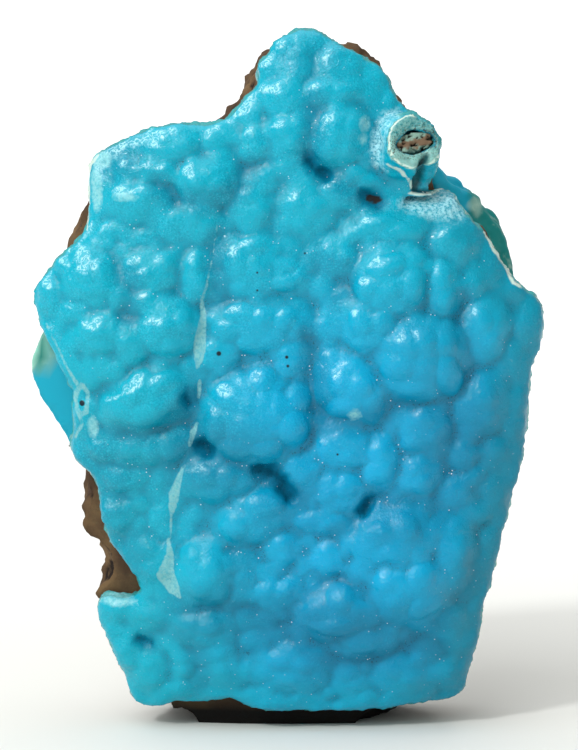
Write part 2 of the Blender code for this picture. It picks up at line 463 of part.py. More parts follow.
def front_crust(material):
    """The front crust: the plate, its swellings and lumps and the stub's coat, as one skin."""
    bm = bmesh.new()
    bm.from_mesh(crust_plate())
    ground = Ground()
    for x, z, half_width, half_height, height in SWELLS:
        ground.lay(bm, x, z, half_width, half_height, 0, height)
    for lumps in (LUMPS, SUB_LUMPS):
        ground.settle()
        for lump in spread_out(lumps):
            ground.lay(bm, *lump)
    place = Matrix.Translation((STUB_ROOT + STUB_AXIS * (STUB_LENGTH / 2)) * MM) @ stub_turn()
    bmesh.ops.create_cone(
        bm,
        cap_ends=True,
        segments=32,
        radius1=STUB_ROOT_RADIUS * MM,
        radius2=STUB_END_RADIUS * MM,
        depth=STUB_LENGTH * MM,
        matrix=place,
    )
    crust = object_of(bm, "hemimorphite_crust", specimen)
    remesh(crust, CRUST_CELL, 0.5, 2)
    thin_out(crust, CRUST_KEPT)
    limit = grown_outline(CRUST_OUTLINE, CRUST_LIMIT)
    cut(crust, "INTERSECT", object_of(prism(limit, -30.0, PLATE_CENTRE.y + 1.5), "crust_limit", cutters))
    cut(crust, "DIFFERENCE", object_of(bed(0.0), "crust_bed", cutters))
    cut(crust, "DIFFERENCE", object_of(core_rod(GAP), "core_hole", cutters))
    cut(crust, "DIFFERENCE", object_of(shelf_cutter(), "shelf_break", cutters))
    crust.data.materials.append(material)
    return crust


def pocket(seat, depth, clearance, outward):
    """The block of space that a second crust layer may fill: all that lies outside its seat."""
    line = [(x - outward * clearance, z) for x, z in seat]
    line[0] = (line[0][0], line[0][1] + clearance)
    line[-1] = (line[-1][0], line[-1][1] - clearance)
    far = outward * 34.0
    corners = line + [(far, line[-1][1]), (far, line[0][1])]
    return prism(corners, depth[0] - clearance, depth[1] + clearance)


def second_layer(name, seat, rim, depth, bumps, outward, material):
    """A further patch of crust: its section extruded, with bumps, as one skin."""
    bm = prism(seat + rim, depth[0] + 0.4, depth[1] - 0.4)
    for x, y, z, radius in bumps:
        ball(bm, Vector((x - outward * radius * 0.45, y, z)), Vector((radius, radius * 1.3, radius)))
    patch = object_of(bm, name, specimen)
    remesh(patch, PATCH_CELL, 0.5, 3)
    thin_out(patch, PATCH_KEPT)
    room = object_of(pocket(seat, depth, 0.0, outward), name + "_room", cutters)
    cut(patch, "INTERSECT", room)
    cut(patch, "INTERSECT", object_of(bed(GAP), name + "_bed", cutters))
    patch.data.materials.append(material)
    return patch


def roughened(mesh):
    """Moves the rock's points in and out: broad hollows, sharp small ridges and a few deep pits."""
    bm = bmesh.new()
    bm.from_mesh(mesh)
    bm.normal_update()
    for vert in bm.verts:
        where = vert.co / MM
        broad = noise.noise(where / BROAD_SIZE + Vector((3.1, 0.0, 8.2)))
        ridges = 1.0 - 2.0 * abs(noise.noise(where / RIDGE_SIZE + Vector((0.0, 5.7, 1.3))))
        to_pit = noise.voronoi(where / PIT_SPACING)[0][0]
        pit = max(0.0, 1.0 - to_pit / PIT_SHARE) ** 0.7
        move = BROAD_HEIGHT * broad + RIDGE_HEIGHT * (ridges - 0.6) - PIT_DEPTH * pit
        vert.co += vert.normal * move * MM
    bm.to_mesh(mesh)
    bm.free()
    return mesh


def rock(material):
    """The matrix: its outline extruded, broken along the fracture faces and roughened."""
    bm = prism(MATRIX_OUTLINE, MATRIX_FRONT, MATRIX_BACK + 2.0)
    for point, way in FRACTURES:
        geometry = bm.verts[:] + bm.edges[:] + bm.faces[:]
        sliced = bmesh.ops.bisect_plane(
            bm,
            geom=geometry,
            dist=1e-7,
            plane_co=Vector(point) * MM,
            plane_no=Vector(way).normalized(),
            clear_outer=True,
        )
        edges = [item for item in sliced["geom_cut"] if isinstance(item, bmesh.types.BMEdge)]
        bmesh.ops.holes_fill(bm, edges=edges, sides=0)
    bmesh.ops.triangulate(bm, faces=bm.faces)
    bmesh.ops.recalc_face_normals(bm, faces=bm.faces)
    rough = object_of(bm, "rough", cutters)
    remesh(rough, ROCK_CELL, 0.5, 3)
    mesh = roughened(applied(rough))
    matrix = bpy.data.objects.new("matrix", mesh)
    specimen.objects.link(matrix)
    thin_out(matrix, ROCK_KEPT)
    cut(matrix, "INTERSECT", object_of(bed(GAP), "rock_front", cutters))
    right = pocket(RIGHT_SEAT, RIGHT_DEPTH, GAP, 1)
    cut(matrix, "DIFFERENCE", object_of(right, "right_pocket", cutters))
    left = pocket(LEFT_SEAT, LEFT_DEPTH, GAP, -1)
    cut(matrix, "DIFFERENCE", object_of(left, "left_pocket", cutters))
    floor = bmesh.new()
    below = Matrix.Translation((0, 0, -0.010)) @ Matrix.Diagonal((0.08, 0.08, 0.020, 1))
    bmesh.ops.create_cube(floor, size=1.0, matrix=below)
    cut(matrix, "DIFFERENCE", object_of(floor, "saw_cut", cutters))
    cut(matrix, "UNION", object_of(core_rod(0.0), "stub_core", cutters))
    matrix.data.materials.clear()
    matrix.data.materials.append(material)
    return matrix


blue = plain_material("blue_crust", "27A5C6", 0.38)
rock_brown = plain_material("brown_matrix", "6F5443", 0.9)
teal = plain_material("teal_crust", "2C9AA2", 0.42)

front_crust(blue)
rock(rock_brown)
second_layer("crust_behind_right", RIGHT_SEAT, RIGHT_RIM, RIGHT_DEPTH, RIGHT_BUMPS, 1, teal)
second_layer("crust_behind_left", LEFT_SEAT, LEFT_RIM, LEFT_DEPTH, LEFT_BUMPS, -1, teal)
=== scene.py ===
"""A hemimorphite specimen: a sky-blue botryoidal crust on a piece of brown iron-oxide matrix.

X runs right, Y away from the crust and Z up. Sizes are in millimetres where a name or comment
gives no other unit, and the objects themselves are in metres.
"""

import math
import random

import bmesh
import bpy
import numpy as np
from mathutils import Matrix, Vector, noise


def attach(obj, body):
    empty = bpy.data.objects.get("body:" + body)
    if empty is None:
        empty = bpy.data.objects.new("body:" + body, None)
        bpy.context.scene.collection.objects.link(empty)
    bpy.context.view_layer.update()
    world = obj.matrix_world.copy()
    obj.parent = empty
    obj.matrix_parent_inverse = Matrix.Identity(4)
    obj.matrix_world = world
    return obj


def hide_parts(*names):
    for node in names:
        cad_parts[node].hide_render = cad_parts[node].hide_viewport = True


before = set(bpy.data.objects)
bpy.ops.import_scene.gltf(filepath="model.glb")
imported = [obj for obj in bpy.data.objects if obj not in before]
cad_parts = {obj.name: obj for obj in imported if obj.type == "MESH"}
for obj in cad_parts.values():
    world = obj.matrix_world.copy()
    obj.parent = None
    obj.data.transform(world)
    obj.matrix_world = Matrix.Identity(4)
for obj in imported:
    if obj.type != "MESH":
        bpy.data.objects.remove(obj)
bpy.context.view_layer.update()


# ---- Camera: a long lens, a little above the specimen's middle and square to its crust. ----
# It comes first because the crust's lumps were placed as seen from here.

MM = 0.001
CAMERA_DISTANCE = 400.0
CAMERA_ELEVATION = 8.0
CAMERA_TARGET = Vector((0.0, -2.1, 31.9))
FRAME_HEIGHT = 67.5
SENSOR = 36.0

lens = bpy.data.cameras.new("long_lens")
lens.sensor_width = SENSOR
lens.lens = SENSOR * CAMERA_DISTANCE / FRAME_HEIGHT
lens.clip_start = 0.05
lens.clip_end = 5.0
camera = bpy.data.objects.new("camera", lens)
bpy.context.scene.collection.objects.link(camera)
tilt = math.radians(CAMERA_ELEVATION)
away = Vector((0.0, -math.cos(tilt), math.sin(tilt)))
camera.location = (CAMERA_TARGET + away * CAMERA_DISTANCE) * MM
camera.rotation_euler = (math.pi / 2 - tilt, 0.0, 0.0)
bpy.context.scene.camera = camera


# ---- Front crust: one skin of grown-together lumps, with the coat of a broken stub. ----
# Hemimorphite grew as radiating fibres in rounded lumps, so the skin is waxy and lets light in.
# The crust is broken all round, and its edges show a cream outer layer and teal layers within.

PLATE_CENTRE = Vector((0.0, 0.4, 29.7))
PLATE_REACH = Vector((28.8, 9.0, 37.8))
CRUST_THICKNESS = 2.8
PLATE_CELL = 0.26

# Broad swellings of the crust: across, up, half width, half height, rise.
SWELLS = (
    (-15.2, 36.3, 7.8, 8.7, 1.5),  # left slab
    (11.1, 37.7, 7.5, 8.4, 1.2),  # right cluster
    (9.9, 15.1, 6.2, 7.6, 1.0),  # lower right
    (-7.5, 12.4, 5.4, 5.4, 0.8),  # lower left
    (2.7, 56.2, 6.2, 6.6, 1.0),  # crown
    (-11.0, 49.6, 6.2, 4.9, 1.0),  # shoulder
    (3.7, 10.6, 4.9, 4.5, 0.8),  # lower centre
)

# Lumps: across, up, half width, half height, lean in degrees, rise over half size.
LUMPS = (
    # crown
    (0.4, 61.5, 2.0, 1.4, 0, 0.32), (0.3, 59.6, 1.9, 1.1, 0, 0.28),
    (4.7, 60.4, 2.5, 1.9, 0, 0.24), (-0.6, 57.3, 1.9, 1.7, 0, 0.34),
    (4.1, 57.8, 2.5, 1.3, 0, 0.36), (6.8, 57.2, 1.0, 0.6, 0, 0.28),
    (-0.2, 53.9, 1.9, 2.0, 0, 0.40), (4.6, 54.0, 2.5, 2.7, 0, 0.42),
    (-3.4, 53.4, 1.6, 1.9, 0, 0.30), (-2.4, 50.0, 1.3, 1.2, 0, 0.30),
    (1.7, 50.1, 1.0, 0.8, 0, 0.24), (6.3, 50.2, 1.8, 1.4, 0, 0.32),
    (4.3, 48.7, 1.9, 1.5, 0, 0.36), (1.1, 49.1, 1.4, 1.0, 0, 0.20),
    (-0.4, 51.1, 1.1, 0.9, 0, 0.20), (-1.9, 59.8, 0.9, 1.0, 0, 0.45),
    (-3.9, 55.8, 1.4, 0.9, 0, 0.25), (-6.2, 53.6, 1.8, 1.3, 0, 0.28),
    (-5.8, 51.7, 1.5, 1.1, 0, 0.24), (1.1, 56.7, 0.7, 1.1, 0, 0.20),
    (2.0, 62.1, 1.2, 1.1, 0, 0.22), (7.7, 52.7, 1.1, 1.6, 0, 0.26),
    (7.3, 58.6, 1.1, 1.2, 0, 0.20),
    # shoulder
    (-10.2, 53.4, 2.8, 1.6, 0, 0.32), (-14.1, 51.1, 1.5, 1.1, 0, 0.28),
    (-11.4, 51.1, 1.8, 1.1, 0, 0.30), (-7.1, 50.0, 2.8, 2.1, 0, 0.38),
    (-13.8, 48.2, 2.6, 1.7, 0, 0.32), (-16.7, 49.4, 0.9, 1.5, 0, 0.20),
    (-16.7, 51.6, 1.2, 0.8, 0, 0.15), (-7.8, 46.0, 1.9, 1.9, 0, 0.28),
    (-10.3, 46.0, 1.1, 1.5, 0, 0.26), (-12.3, 47.2, 1.3, 1.0, 0, 0.18),
    (-15.4, 45.6, 1.3, 1.2, 0, 0.28), (-12.5, 44.7, 1.1, 0.9, 0, 0.26),
    (-16.6, 44.2, 1.2, 1.0, 0, 0.28), (-14.1, 43.8, 1.0, 0.9, 0, 0.22),
    (-14.6, 52.9, 1.6, 0.8, 0, 0.16), (-16.9, 47.1, 0.8, 1.1, 0, 0.18),
    # left slab
    (-17.5, 41.4, 2.4, 2.5, 0, 0.38), (-19.6, 42.5, 1.0, 1.0, 0, 0.32),
    (-21.3, 39.6, 1.3, 1.4, 0, 0.36), (-19.0, 38.4, 1.2, 1.0, 0, 0.32),
    (-15.3, 40.2, 1.2, 1.3, 0, 0.28), (-12.0, 42.0, 2.4, 2.0, 0, 0.28),
    (-12.3, 39.5, 1.7, 1.3, 0, 0.24), (-8.0, 41.9, 1.5, 2.3, 0, 0.38),
    (-16.8, 36.5, 2.0, 1.9, 0, 0.36), (-10.5, 37.0, 2.6, 2.4, 0, 0.38),
    (-14.1, 35.6, 1.7, 1.6, 0, 0.30), (-15.9, 33.4, 1.5, 1.1, 0, 0.28),
    (-19.5, 35.2, 1.2, 1.3, 0, 0.22), (-17.8, 32.8, 1.1, 1.2, 0, 0.20),
    (-12.5, 30.3, 4.1, 2.7, 20, 0.42), (-10.7, 34.2, 1.1, 0.8, 0, 0.22),
    (-9.2, 33.1, 1.0, 0.9, 0, 0.22), (-12.3, 26.3, 4.3, 2.0, 5, 0.30),
    (-16.6, 26.0, 1.8, 1.6, 0, 0.26), (-18.1, 28.6, 1.1, 1.8, 0, 0.18),
    # centre
    (-3.3, 47.6, 1.8, 2.4, 0, 0.24), (1.4, 47.3, 2.5, 2.4, 0, 0.26),
    (-3.4, 42.4, 3.0, 3.1, 0, 0.28), (-0.4, 41.8, 2.1, 1.9, 0, 0.26),
    (2.7, 40.7, 1.1, 1.1, 0, 0.22), (-2.6, 37.4, 4.2, 2.6, 0, 0.32),
    (-6.3, 34.6, 1.9, 1.7, 0, 0.28), (-0.1, 34.5, 1.8, 1.9, 0, 0.34),
    (3.4, 37.4, 1.1, 1.8, 0, 0.22), (-3.1, 28.8, 4.8, 4.1, 0, 0.44),
    (5.6, 31.6, 3.5, 2.7, -40, 0.42), (3.6, 34.1, 1.3, 1.2, 0, 0.28),
    (2.0, 44.0, 1.1, 1.4, 0, 0.16), (-6.6, 23.6, 3.5, 2.2, 0, 0.40),
    (1.0, 24.3, 1.9, 1.6, 0, 0.36), (4.6, 26.2, 2.4, 2.3, 0, 0.32),
    (4.5, 22.3, 2.3, 1.8, 0, 0.36), (1.5, 22.0, 1.2, 1.2, 0, 0.24),
    (2.8, 19.7, 2.8, 1.3, 0, 0.28), (8.1, 25.0, 1.7, 2.5, 0, 0.38),
    (12.1, 27.6, 2.4, 2.5, 0, 0.34), (11.6, 23.5, 1.8, 2.0, 0, 0.38),
    (9.7, 28.4, 1.1, 1.2, 0, 0.20),
    # right cluster
    (4.2, 43.6, 1.9, 1.7, 15, 0.30), (8.4, 45.9, 3.7, 1.6, 0, 0.24),
    (9.1, 41.4, 3.4, 3.5, 0, 0.36), (13.6, 40.6, 1.5, 2.6, 0, 0.36),
    (16.3, 41.2, 1.1, 1.5, 0, 0.30), (14.8, 44.7, 2.2, 1.8, 0, 0.32),
    (7.1, 37.3, 2.7, 2.5, 0, 0.32), (11.5, 34.2, 3.9, 3.9, 0, 0.42),
    (17.5, 36.7, 2.0, 2.7, -8, 0.42), (17.1, 29.9, 2.2, 3.0, -5, 0.40),
    (21.3, 37.4, 1.4, 2.3, 0, 0.25), (19.9, 28.4, 1.1, 1.6, 0, 0.25),
    (20.2, 40.0, 1.6, 1.1, 0, 0.22), (15.5, 25.6, 1.2, 1.5, 0, 0.32),
    (18.3, 25.5, 1.4, 1.4, 0, 0.28), (16.2, 23.4, 1.0, 1.0, 0, 0.36),
    (15.1, 22.0, 1.6, 1.4, 0, 0.30), (16.6, 20.1, 1.3, 1.1, 0, 0.26),
    (19.5, 33.9, 1.5, 2.0, 0, 0.20), (18.4, 22.3, 1.1, 1.2, 0, 0.24),
    # lower
    (9.6, 17.7, 4.1, 3.0, 0, 0.34), (10.6, 13.5, 3.7, 3.5, 0, 0.42),
    (14.6, 16.5, 1.8, 3.8, -12, 0.34), (14.6, 10.2, 1.7, 2.0, 0, 0.26),
    (6.3, 15.1, 1.4, 1.3, 0, 0.24), (5.6, 17.6, 1.2, 1.2, 0, 0.30),
    (3.5, 16.2, 1.3, 1.7, 0, 0.40), (4.6, 11.2, 3.8, 2.5, 0, 0.34),
    (6.5, 8.6, 3.0, 1.6, 0, 0.28), (8.9, 9.4, 1.3, 1.2, 0, 0.26),
    (-3.2, 20.0, 3.7, 2.4, 20, 0.36), (-7.9, 20.3, 1.2, 0.9, 0, 0.20),
    (-6.8, 18.5, 1.0, 1.0, 0, 0.18), (-7.5, 15.0, 2.6, 3.0, -25, 0.42),
    (-3.9, 15.2, 1.5, 2.4, 0, 0.22), (-0.6, 17.2, 1.6, 1.7, 0, 0.36),
    (-2.0, 15.4, 1.1, 1.0, 0, 0.22), (-1.2, 13.2, 2.2, 1.6, 0, 0.34),
    (1.0, 14.9, 1.1, 1.2, 0, 0.18), (2.1, 12.5, 1.2, 1.4, 0, 0.20),
    # bottom
    (-7.8, 9.7, 3.2, 1.8, -10, 0.34), (-12.4, 10.7, 2.0, 1.3, 0, 0.26),
    (-15.5, 11.1, 1.1, 1.2, 0, 0.32), (-14.5, 7.0, 1.3, 1.5, 0, 0.30),
    (-12.5, 5.4, 1.5, 1.8, 0, 0.30), (-10.7, 8.2, 1.3, 1.2, 0, 0.26),
    (-9.5, 6.4, 1.5, 1.7, 0, 0.30), (-6.2, 6.6, 1.9, 2.1, 0, 0.34),
    (-3.5, 5.9, 1.3, 1.3, 0, 0.26), (-2.3, 8.8, 1.7, 1.2, 0, 0.22),
    (-3.5, 10.5, 1.8, 1.0, 0, 0.20), (0.3, 6.0, 3.2, 2.4, 0, 0.32),
    (5.7, 5.1, 2.0, 1.6, 0, 0.28), (10.2, 5.2, 3.1, 1.9, 0, 0.28),
    (14.5, 5.2, 1.5, 1.4, 0, 0.30), (15.6, 7.8, 1.4, 1.3, 0, 0.24),
    (-10.4, 3.9, 1.3, 0.9, 0, 0.22), (12.5, 7.1, 1.4, 1.1, 0, 0.16),
    # left of the lower part
    (-14.6, 23.2, 2.3, 1.4, 0, 0.28), (-15.8, 19.8, 2.0, 1.8, 0, 0.28),
    (-11.6, 23.5, 1.2, 1.5, 0, 0.18), (-13.3, 21.1, 1.3, 1.2, 0, 0.18),
    (-11.4, 20.6, 1.1, 1.0, 0, 0.18), (-11.5, 18.8, 1.0, 1.2, 0, 0.22),
    (-12.4, 15.9, 2.1, 2.2, 0, 0.26), (-9.2, 18.7, 0.9, 1.1, 0, 0.18),
    (-16.0, 12.5, 0.9, 0.9, 0, 0.22),
)

# Lesser lumps that stand on those, in the same terms.
SUB_LUMPS = (
    # crown
    (-0.4, 61.7, 1.0, 0.8, 0, 0.14), (1.2, 61.2, 1.0, 0.8, 0, 0.14),
    (1.0, 59.6, 0.9, 0.7, 0, 0.14), (4.1, 61.2, 1.2, 0.9, 0, 0.14),
    (5.4, 59.8, 1.2, 1.0, 0, 0.14), (-1.0, 57.7, 1.1, 0.9, 0, 0.14),
    (-0.1, 56.6, 1.0, 0.8, 0, 0.14), (2.9, 57.9, 1.1, 0.8, 0, 0.16),
    (5.0, 57.9, 1.1, 0.8, 0, 0.16), (-0.6, 54.6, 1.1, 1.0, 0, 0.15),
    (0.4, 53.1, 1.1, 1.1, 0, 0.16), (3.4, 52.9, 1.2, 1.2, 0, 0.18),
    (4.1, 55.3, 1.3, 1.0, 0, 0.16), (5.9, 54.9, 1.1, 1.3, 0, 0.18),
    (5.4, 52.7, 1.1, 1.1, 0, 0.14), (-3.4, 54.1, 0.9, 0.9, 0, 0.14),
    (-3.3, 52.5, 1.0, 0.9, 0, 0.14), (5.9, 50.8, 0.9, 0.8, 0, 0.14),
    (7.0, 49.7, 0.9, 0.8, 0, 0.14), (3.8, 49.2, 1.0, 0.8, 0, 0.14),
    (5.0, 48.2, 1.0, 0.8, 0, 0.14),
    # shoulder
    (-11.0, 54.0, 1.1, 0.8, 0, 0.14), (-9.2, 53.4, 1.1, 1.0, 0, 0.14),
    (-11.8, 52.9, 0.8, 0.6, 0, 0.16), (-8.0, 50.0, 1.1, 1.1, 0, 0.20),
    (-6.2, 49.6, 1.1, 1.1, 0, 0.18), (-9.0, 50.9, 0.9, 0.9, 0, 0.16),
    (-6.5, 51.1, 1.1, 0.7, 0, 0.12), (-15.0, 48.5, 1.1, 0.8, 0, 0.18),
    (-12.7, 48.9, 1.1, 0.9, 0, 0.16), (-13.8, 47.5, 1.2, 0.7, 0, 0.12),
    (-11.2, 51.1, 0.8, 0.6, 0, 0.16), (-12.5, 51.2, 0.7, 0.6, 0, 0.18),
    (-14.5, 51.3, 0.8, 0.6, 0, 0.18), (-13.5, 50.8, 0.7, 0.6, 0, 0.14),
    (-8.3, 46.7, 1.0, 1.0, 0, 0.14), (-7.1, 45.5, 1.0, 1.1, 0, 0.14),
    (-10.3, 46.5, 0.7, 0.8, 0, 0.14),
    # left slab
    (-18.1, 41.8, 1.0, 1.0, 0, 0.22), (-18.0, 40.3, 1.1, 0.8, 0, 0.16),
    (-16.6, 42.5, 1.0, 1.0, 0, 0.16), (-16.3, 40.5, 1.0, 0.9, 0, 0.14),
    (-21.8, 40.1, 0.7, 0.7, 0, 0.16), (-21.0, 39.1, 0.7, 0.7, 0, 0.16),
    (-12.7, 41.6, 1.1, 0.8, 0, 0.20), (-10.9, 42.7, 1.1, 1.0, 0, 0.20),
    (-11.6, 40.9, 0.9, 0.7, 0, 0.16), (-13.4, 42.8, 0.9, 0.8, 0, 0.14),
    (-12.6, 39.8, 0.9, 0.7, 0, 0.18), (-11.7, 39.0, 0.8, 0.7, 0, 0.16),
    (-8.3, 42.7, 0.9, 1.1, 0, 0.16), (-7.8, 40.9, 0.9, 1.1, 0, 0.16),
    (-11.1, 37.3, 1.1, 0.9, 0, 0.20), (-9.4, 37.8, 1.0, 1.1, 0, 0.18),
    (-10.5, 35.5, 1.3, 0.8, 0, 0.16), (-12.3, 36.3, 0.9, 0.9, 0, 0.14),
    (-17.0, 36.9, 1.0, 0.9, 0, 0.22), (-15.6, 37.1, 0.7, 1.0, 0, 0.18),
    (-16.8, 35.4, 1.2, 0.7, 0, 0.16), (-14.4, 35.9, 0.9, 0.9, 0, 0.18),
    (-13.4, 35.0, 0.9, 0.8, 0, 0.16), (-13.6, 31.4, 1.7, 0.8, 35, 0.18),
    (-11.0, 32.3, 1.5, 1.0, 25, 0.20), (-12.3, 29.5, 2.7, 1.2, 15, 0.16),
    (-14.9, 29.4, 1.3, 1.0, 20, 0.16), (-9.9, 30.7, 1.1, 1.2, 0, 0.14),
    (-16.4, 25.8, 1.4, 1.2, 0, 0.18), (-14.1, 26.1, 1.2, 1.2, 0, 0.18),
    (-12.3, 26.0, 1.0, 1.2, 0, 0.16), (-10.4, 26.4, 1.3, 1.3, 0, 0.20),
    # centre
    (-3.6, 48.7, 1.0, 0.9, 0, 0.16), (-2.9, 47.0, 1.1, 1.1, 0, 0.14),
    (-3.9, 46.4, 0.9, 0.7, 0, 0.14), (0.6, 48.1, 1.1, 1.0, 0, 0.16),
    (2.3, 47.7, 1.1, 1.1, 0, 0.16), (1.2, 46.1, 1.1, 0.9, 0, 0.14),
    (-3.0, 44.3, 1.5, 0.8, 0, 0.20), (-4.7, 42.8, 1.1, 1.7, 0, 0.18),
    (-2.7, 42.4, 1.2, 1.1, 0, 0.12), (-4.3, 40.6, 1.2, 0.9, 0, 0.14),
    (-0.4, 42.9, 1.1, 0.8, 0, 0.20), (-0.5, 41.1, 1.4, 0.9, 0, 0.24),
    (0.7, 41.6, 0.7, 0.9, 0, 0.20), (-4.3, 38.5, 1.6, 1.0, 0, 0.20),
    (-2.4, 38.1, 1.1, 1.1, 0, 0.22), (-0.5, 37.9, 1.1, 1.1, 0, 0.22),
    (0.7, 36.8, 0.9, 1.1, 0, 0.18), (-5.9, 36.8, 1.3, 1.1, 0, 0.20),
    (-6.7, 37.8, 0.9, 0.7, 0, 0.16), (-3.4, 35.4, 1.4, 0.8, 0, 0.18),
    (-6.7, 34.9, 0.9, 0.9, 0, 0.14), (-5.6, 34.3, 0.8, 0.8, 0, 0.14),
    (-0.4, 35.0, 0.9, 0.9, 0, 0.14), (0.4, 33.9, 0.9, 0.8, 0, 0.14),
    (-2.4, 32.9, 1.5, 1.3, 0, 0.28), (-5.4, 31.3, 1.5, 1.3, 0, 0.20),
    (1.0, 31.4, 1.2, 1.7, 0, 0.24), (-1.0, 30.0, 1.1, 1.1, 0, 0.18),
    (0.3, 28.3, 1.5, 1.9, 0, 0.26), (-2.1, 26.3, 1.7, 1.2, 0, 0.22),
    (-4.8, 26.2, 1.9, 1.1, 0, 0.20), (-6.8, 28.4, 1.0, 2.0, 0, 0.20),
    (-3.8, 28.5, 1.5, 1.2, 0, 0.10), (-4.1, 30.7, 1.1, 0.9, 0, 0.10),
    (4.3, 32.1, 1.1, 1.1, 0, 0.20), (6.3, 31.8, 1.2, 1.2, 0, 0.20),
    (5.0, 29.8, 1.6, 1.2, 0, 0.18), (7.4, 30.2, 1.2, 1.1, 0, 0.16),
    (3.6, 34.4, 0.8, 0.8, 0, 0.14), (-7.5, 23.9, 1.2, 1.2, 0, 0.18),
    (-5.6, 23.7, 1.2, 1.2, 0, 0.18), (-4.1, 22.9, 1.2, 1.0, 0, 0.18),
    (-6.6, 22.2, 1.2, 0.8, 0, 0.14), (0.4, 24.8, 0.9, 0.8, 0, 0.14),
    (1.5, 23.9, 0.9, 0.8, 0, 0.14), (5.0, 27.2, 1.2, 0.8, 0, 0.18),
    (5.6, 25.4, 1.1, 0.9, 0, 0.16), (3.5, 26.3, 1.0, 1.0, 0, 0.16),
    (3.4, 21.9, 1.0, 1.1, 0, 0.16), (5.3, 22.9, 1.1, 1.2, 0, 0.18),
    (4.5, 21.1, 1.4, 0.7, 0, 0.14), (1.8, 19.8, 1.2, 0.8, 0, 0.16),
    (3.9, 19.3, 1.2, 0.8, 0, 0.16), (8.0, 26.2, 1.0, 1.0, 0, 0.14),
    (8.3, 23.9, 1.1, 1.1, 0, 0.14), (12.1, 28.8, 1.2, 0.9, 0, 0.16),
    (13.0, 27.2, 1.0, 1.2, 0, 0.16), (11.2, 26.6, 1.2, 1.0, 0, 0.16),
    (11.1, 24.3, 0.9, 0.8, 0, 0.16), (12.1, 22.8, 1.1, 1.0, 0, 0.16),
    # right cluster
    (3.4, 44.0, 0.9, 0.7, 0, 0.18), (4.8, 43.5, 0.9, 0.8, 0, 0.18),
    (5.6, 45.3, 1.5, 0.7, 25, 0.20), (7.8, 46.5, 1.8, 0.7, 12, 0.20),
    (10.5, 45.7, 1.6, 0.9, -15, 0.18), (6.8, 40.5, 1.2, 1.3, 0, 0.26),
    (11.0, 40.6, 1.2, 1.7, 0, 0.24), (8.6, 42.7, 2.0, 1.0, 15, 0.22),
    (11.0, 43.1, 1.2, 1.1, 0, 0.18), (8.9, 40.3, 1.1, 1.1, 0, 0.12),
    (13.4, 41.7, 1.0, 1.5, 0, 0.20), (14.0, 39.5, 1.0, 1.2, 0, 0.16),
    (14.2, 45.2, 1.1, 0.9, 0, 0.16), (15.5, 44.1, 1.0, 0.9, 0, 0.14),
    (6.4, 37.6, 1.2, 1.1, 0, 0.24), (8.6, 37.7, 1.1, 1.3, 0, 0.20),
    (6.4, 35.8, 1.1, 0.8, 0, 0.16), (4.9, 38.9, 0.9, 0.7, 0, 0.20),
    (8.5, 35.8, 0.9, 0.8, 0, 0.16), (10.2, 35.5, 1.2, 1.1, 0, 0.20),
    (11.9, 36.1, 1.1, 1.1, 0, 0.24), (14.2, 32.7, 1.2, 2.2, 15, 0.26),
    (13.9, 35.8, 1.1, 1.2, 0, 0.20), (9.6, 33.7, 1.6, 1.3, 0, 0.16),
    (12.0, 33.4, 1.4, 1.5, 0, 0.12), (11.4, 31.4, 1.8, 0.9, 0, 0.16),
    (17.1, 37.7, 1.0, 1.3, 0, 0.16), (17.9, 35.3, 1.1, 1.1, 0, 0.16),
    (17.2, 30.7, 1.1, 1.2, 0, 0.16), (17.5, 28.6, 1.1, 1.1, 0, 0.16),
    (15.5, 26.2, 0.7, 0.7, 0, 0.14), (14.8, 22.4, 0.8, 0.7, 0, 0.14),
    (15.7, 21.6, 0.8, 0.7, 0, 0.14),
    # lower
    (7.6, 18.7, 1.3, 1.1, 0, 0.20), (10.3, 19.1, 1.3, 1.2, 0, 0.22),
    (9.0, 16.8, 1.3, 0.7, -20, 0.18), (11.8, 14.7, 1.3, 1.6, 0, 0.20),
    (8.6, 14.3, 1.1, 1.5, 0, 0.18), (9.4, 12.3, 1.4, 1.2, 0, 0.16),
    (12.2, 11.8, 1.6, 1.1, 20, 0.18), (13.5, 19.0, 1.0, 1.2, 0, 0.20),
    (15.2, 16.8, 0.8, 1.5, 0, 0.20), (15.4, 14.5, 0.8, 1.3, 0, 0.16),
    (5.6, 17.7, 0.8, 0.8, 0, 0.20), (3.5, 17.0, 0.8, 0.8, 0, 0.14),
    (3.7, 15.5, 0.8, 0.8, 0, 0.12), (4.5, 12.8, 1.3, 1.4, 0, 0.24),
    (4.1, 10.2, 2.2, 1.0, 0, 0.22), (6.6, 8.6, 2.1, 1.2, 0, 0.20),
    (2.6, 11.6, 1.1, 1.0, 0, 0.16), (9.0, 9.5, 0.9, 0.8, 0, 0.14),
    (14.3, 10.6, 0.8, 1.1, 0, 0.14), (-1.9, 21.3, 1.9, 1.3, 10, 0.22),
    (-4.8, 19.3, 1.6, 1.5, 0, 0.22), (-3.3, 19.9, 0.9, 0.9, 0, 0.12),
    (-8.7, 16.6, 1.1, 1.1, 0, 0.18), (-6.8, 15.3, 1.1, 1.5, 0, 0.16),
    (-7.9, 13.6, 1.2, 1.1, 0, 0.14), (-6.2, 13.2, 1.0, 1.1, 0, 0.14),
    (-0.6, 17.8, 1.0, 0.8, 0, 0.20), (-0.4, 16.4, 0.9, 0.7, 0, 0.14),
    (-2.1, 13.4, 1.1, 1.0, 0, 0.18), (-0.3, 13.5, 1.1, 1.1, 0, 0.18),
    # bottom
    (-9.3, 10.2, 1.3, 0.8, 0, 0.16), (-7.1, 9.9, 1.3, 1.0, 0, 0.18),
    (-7.5, 8.4, 1.2, 0.7, 0, 0.14), (-12.7, 11.0, 1.0, 0.7, 0, 0.16),
    (-14.7, 7.5, 0.7, 0.8, 0, 0.16), (-14.1, 6.2, 0.7, 0.7, 0, 0.14),
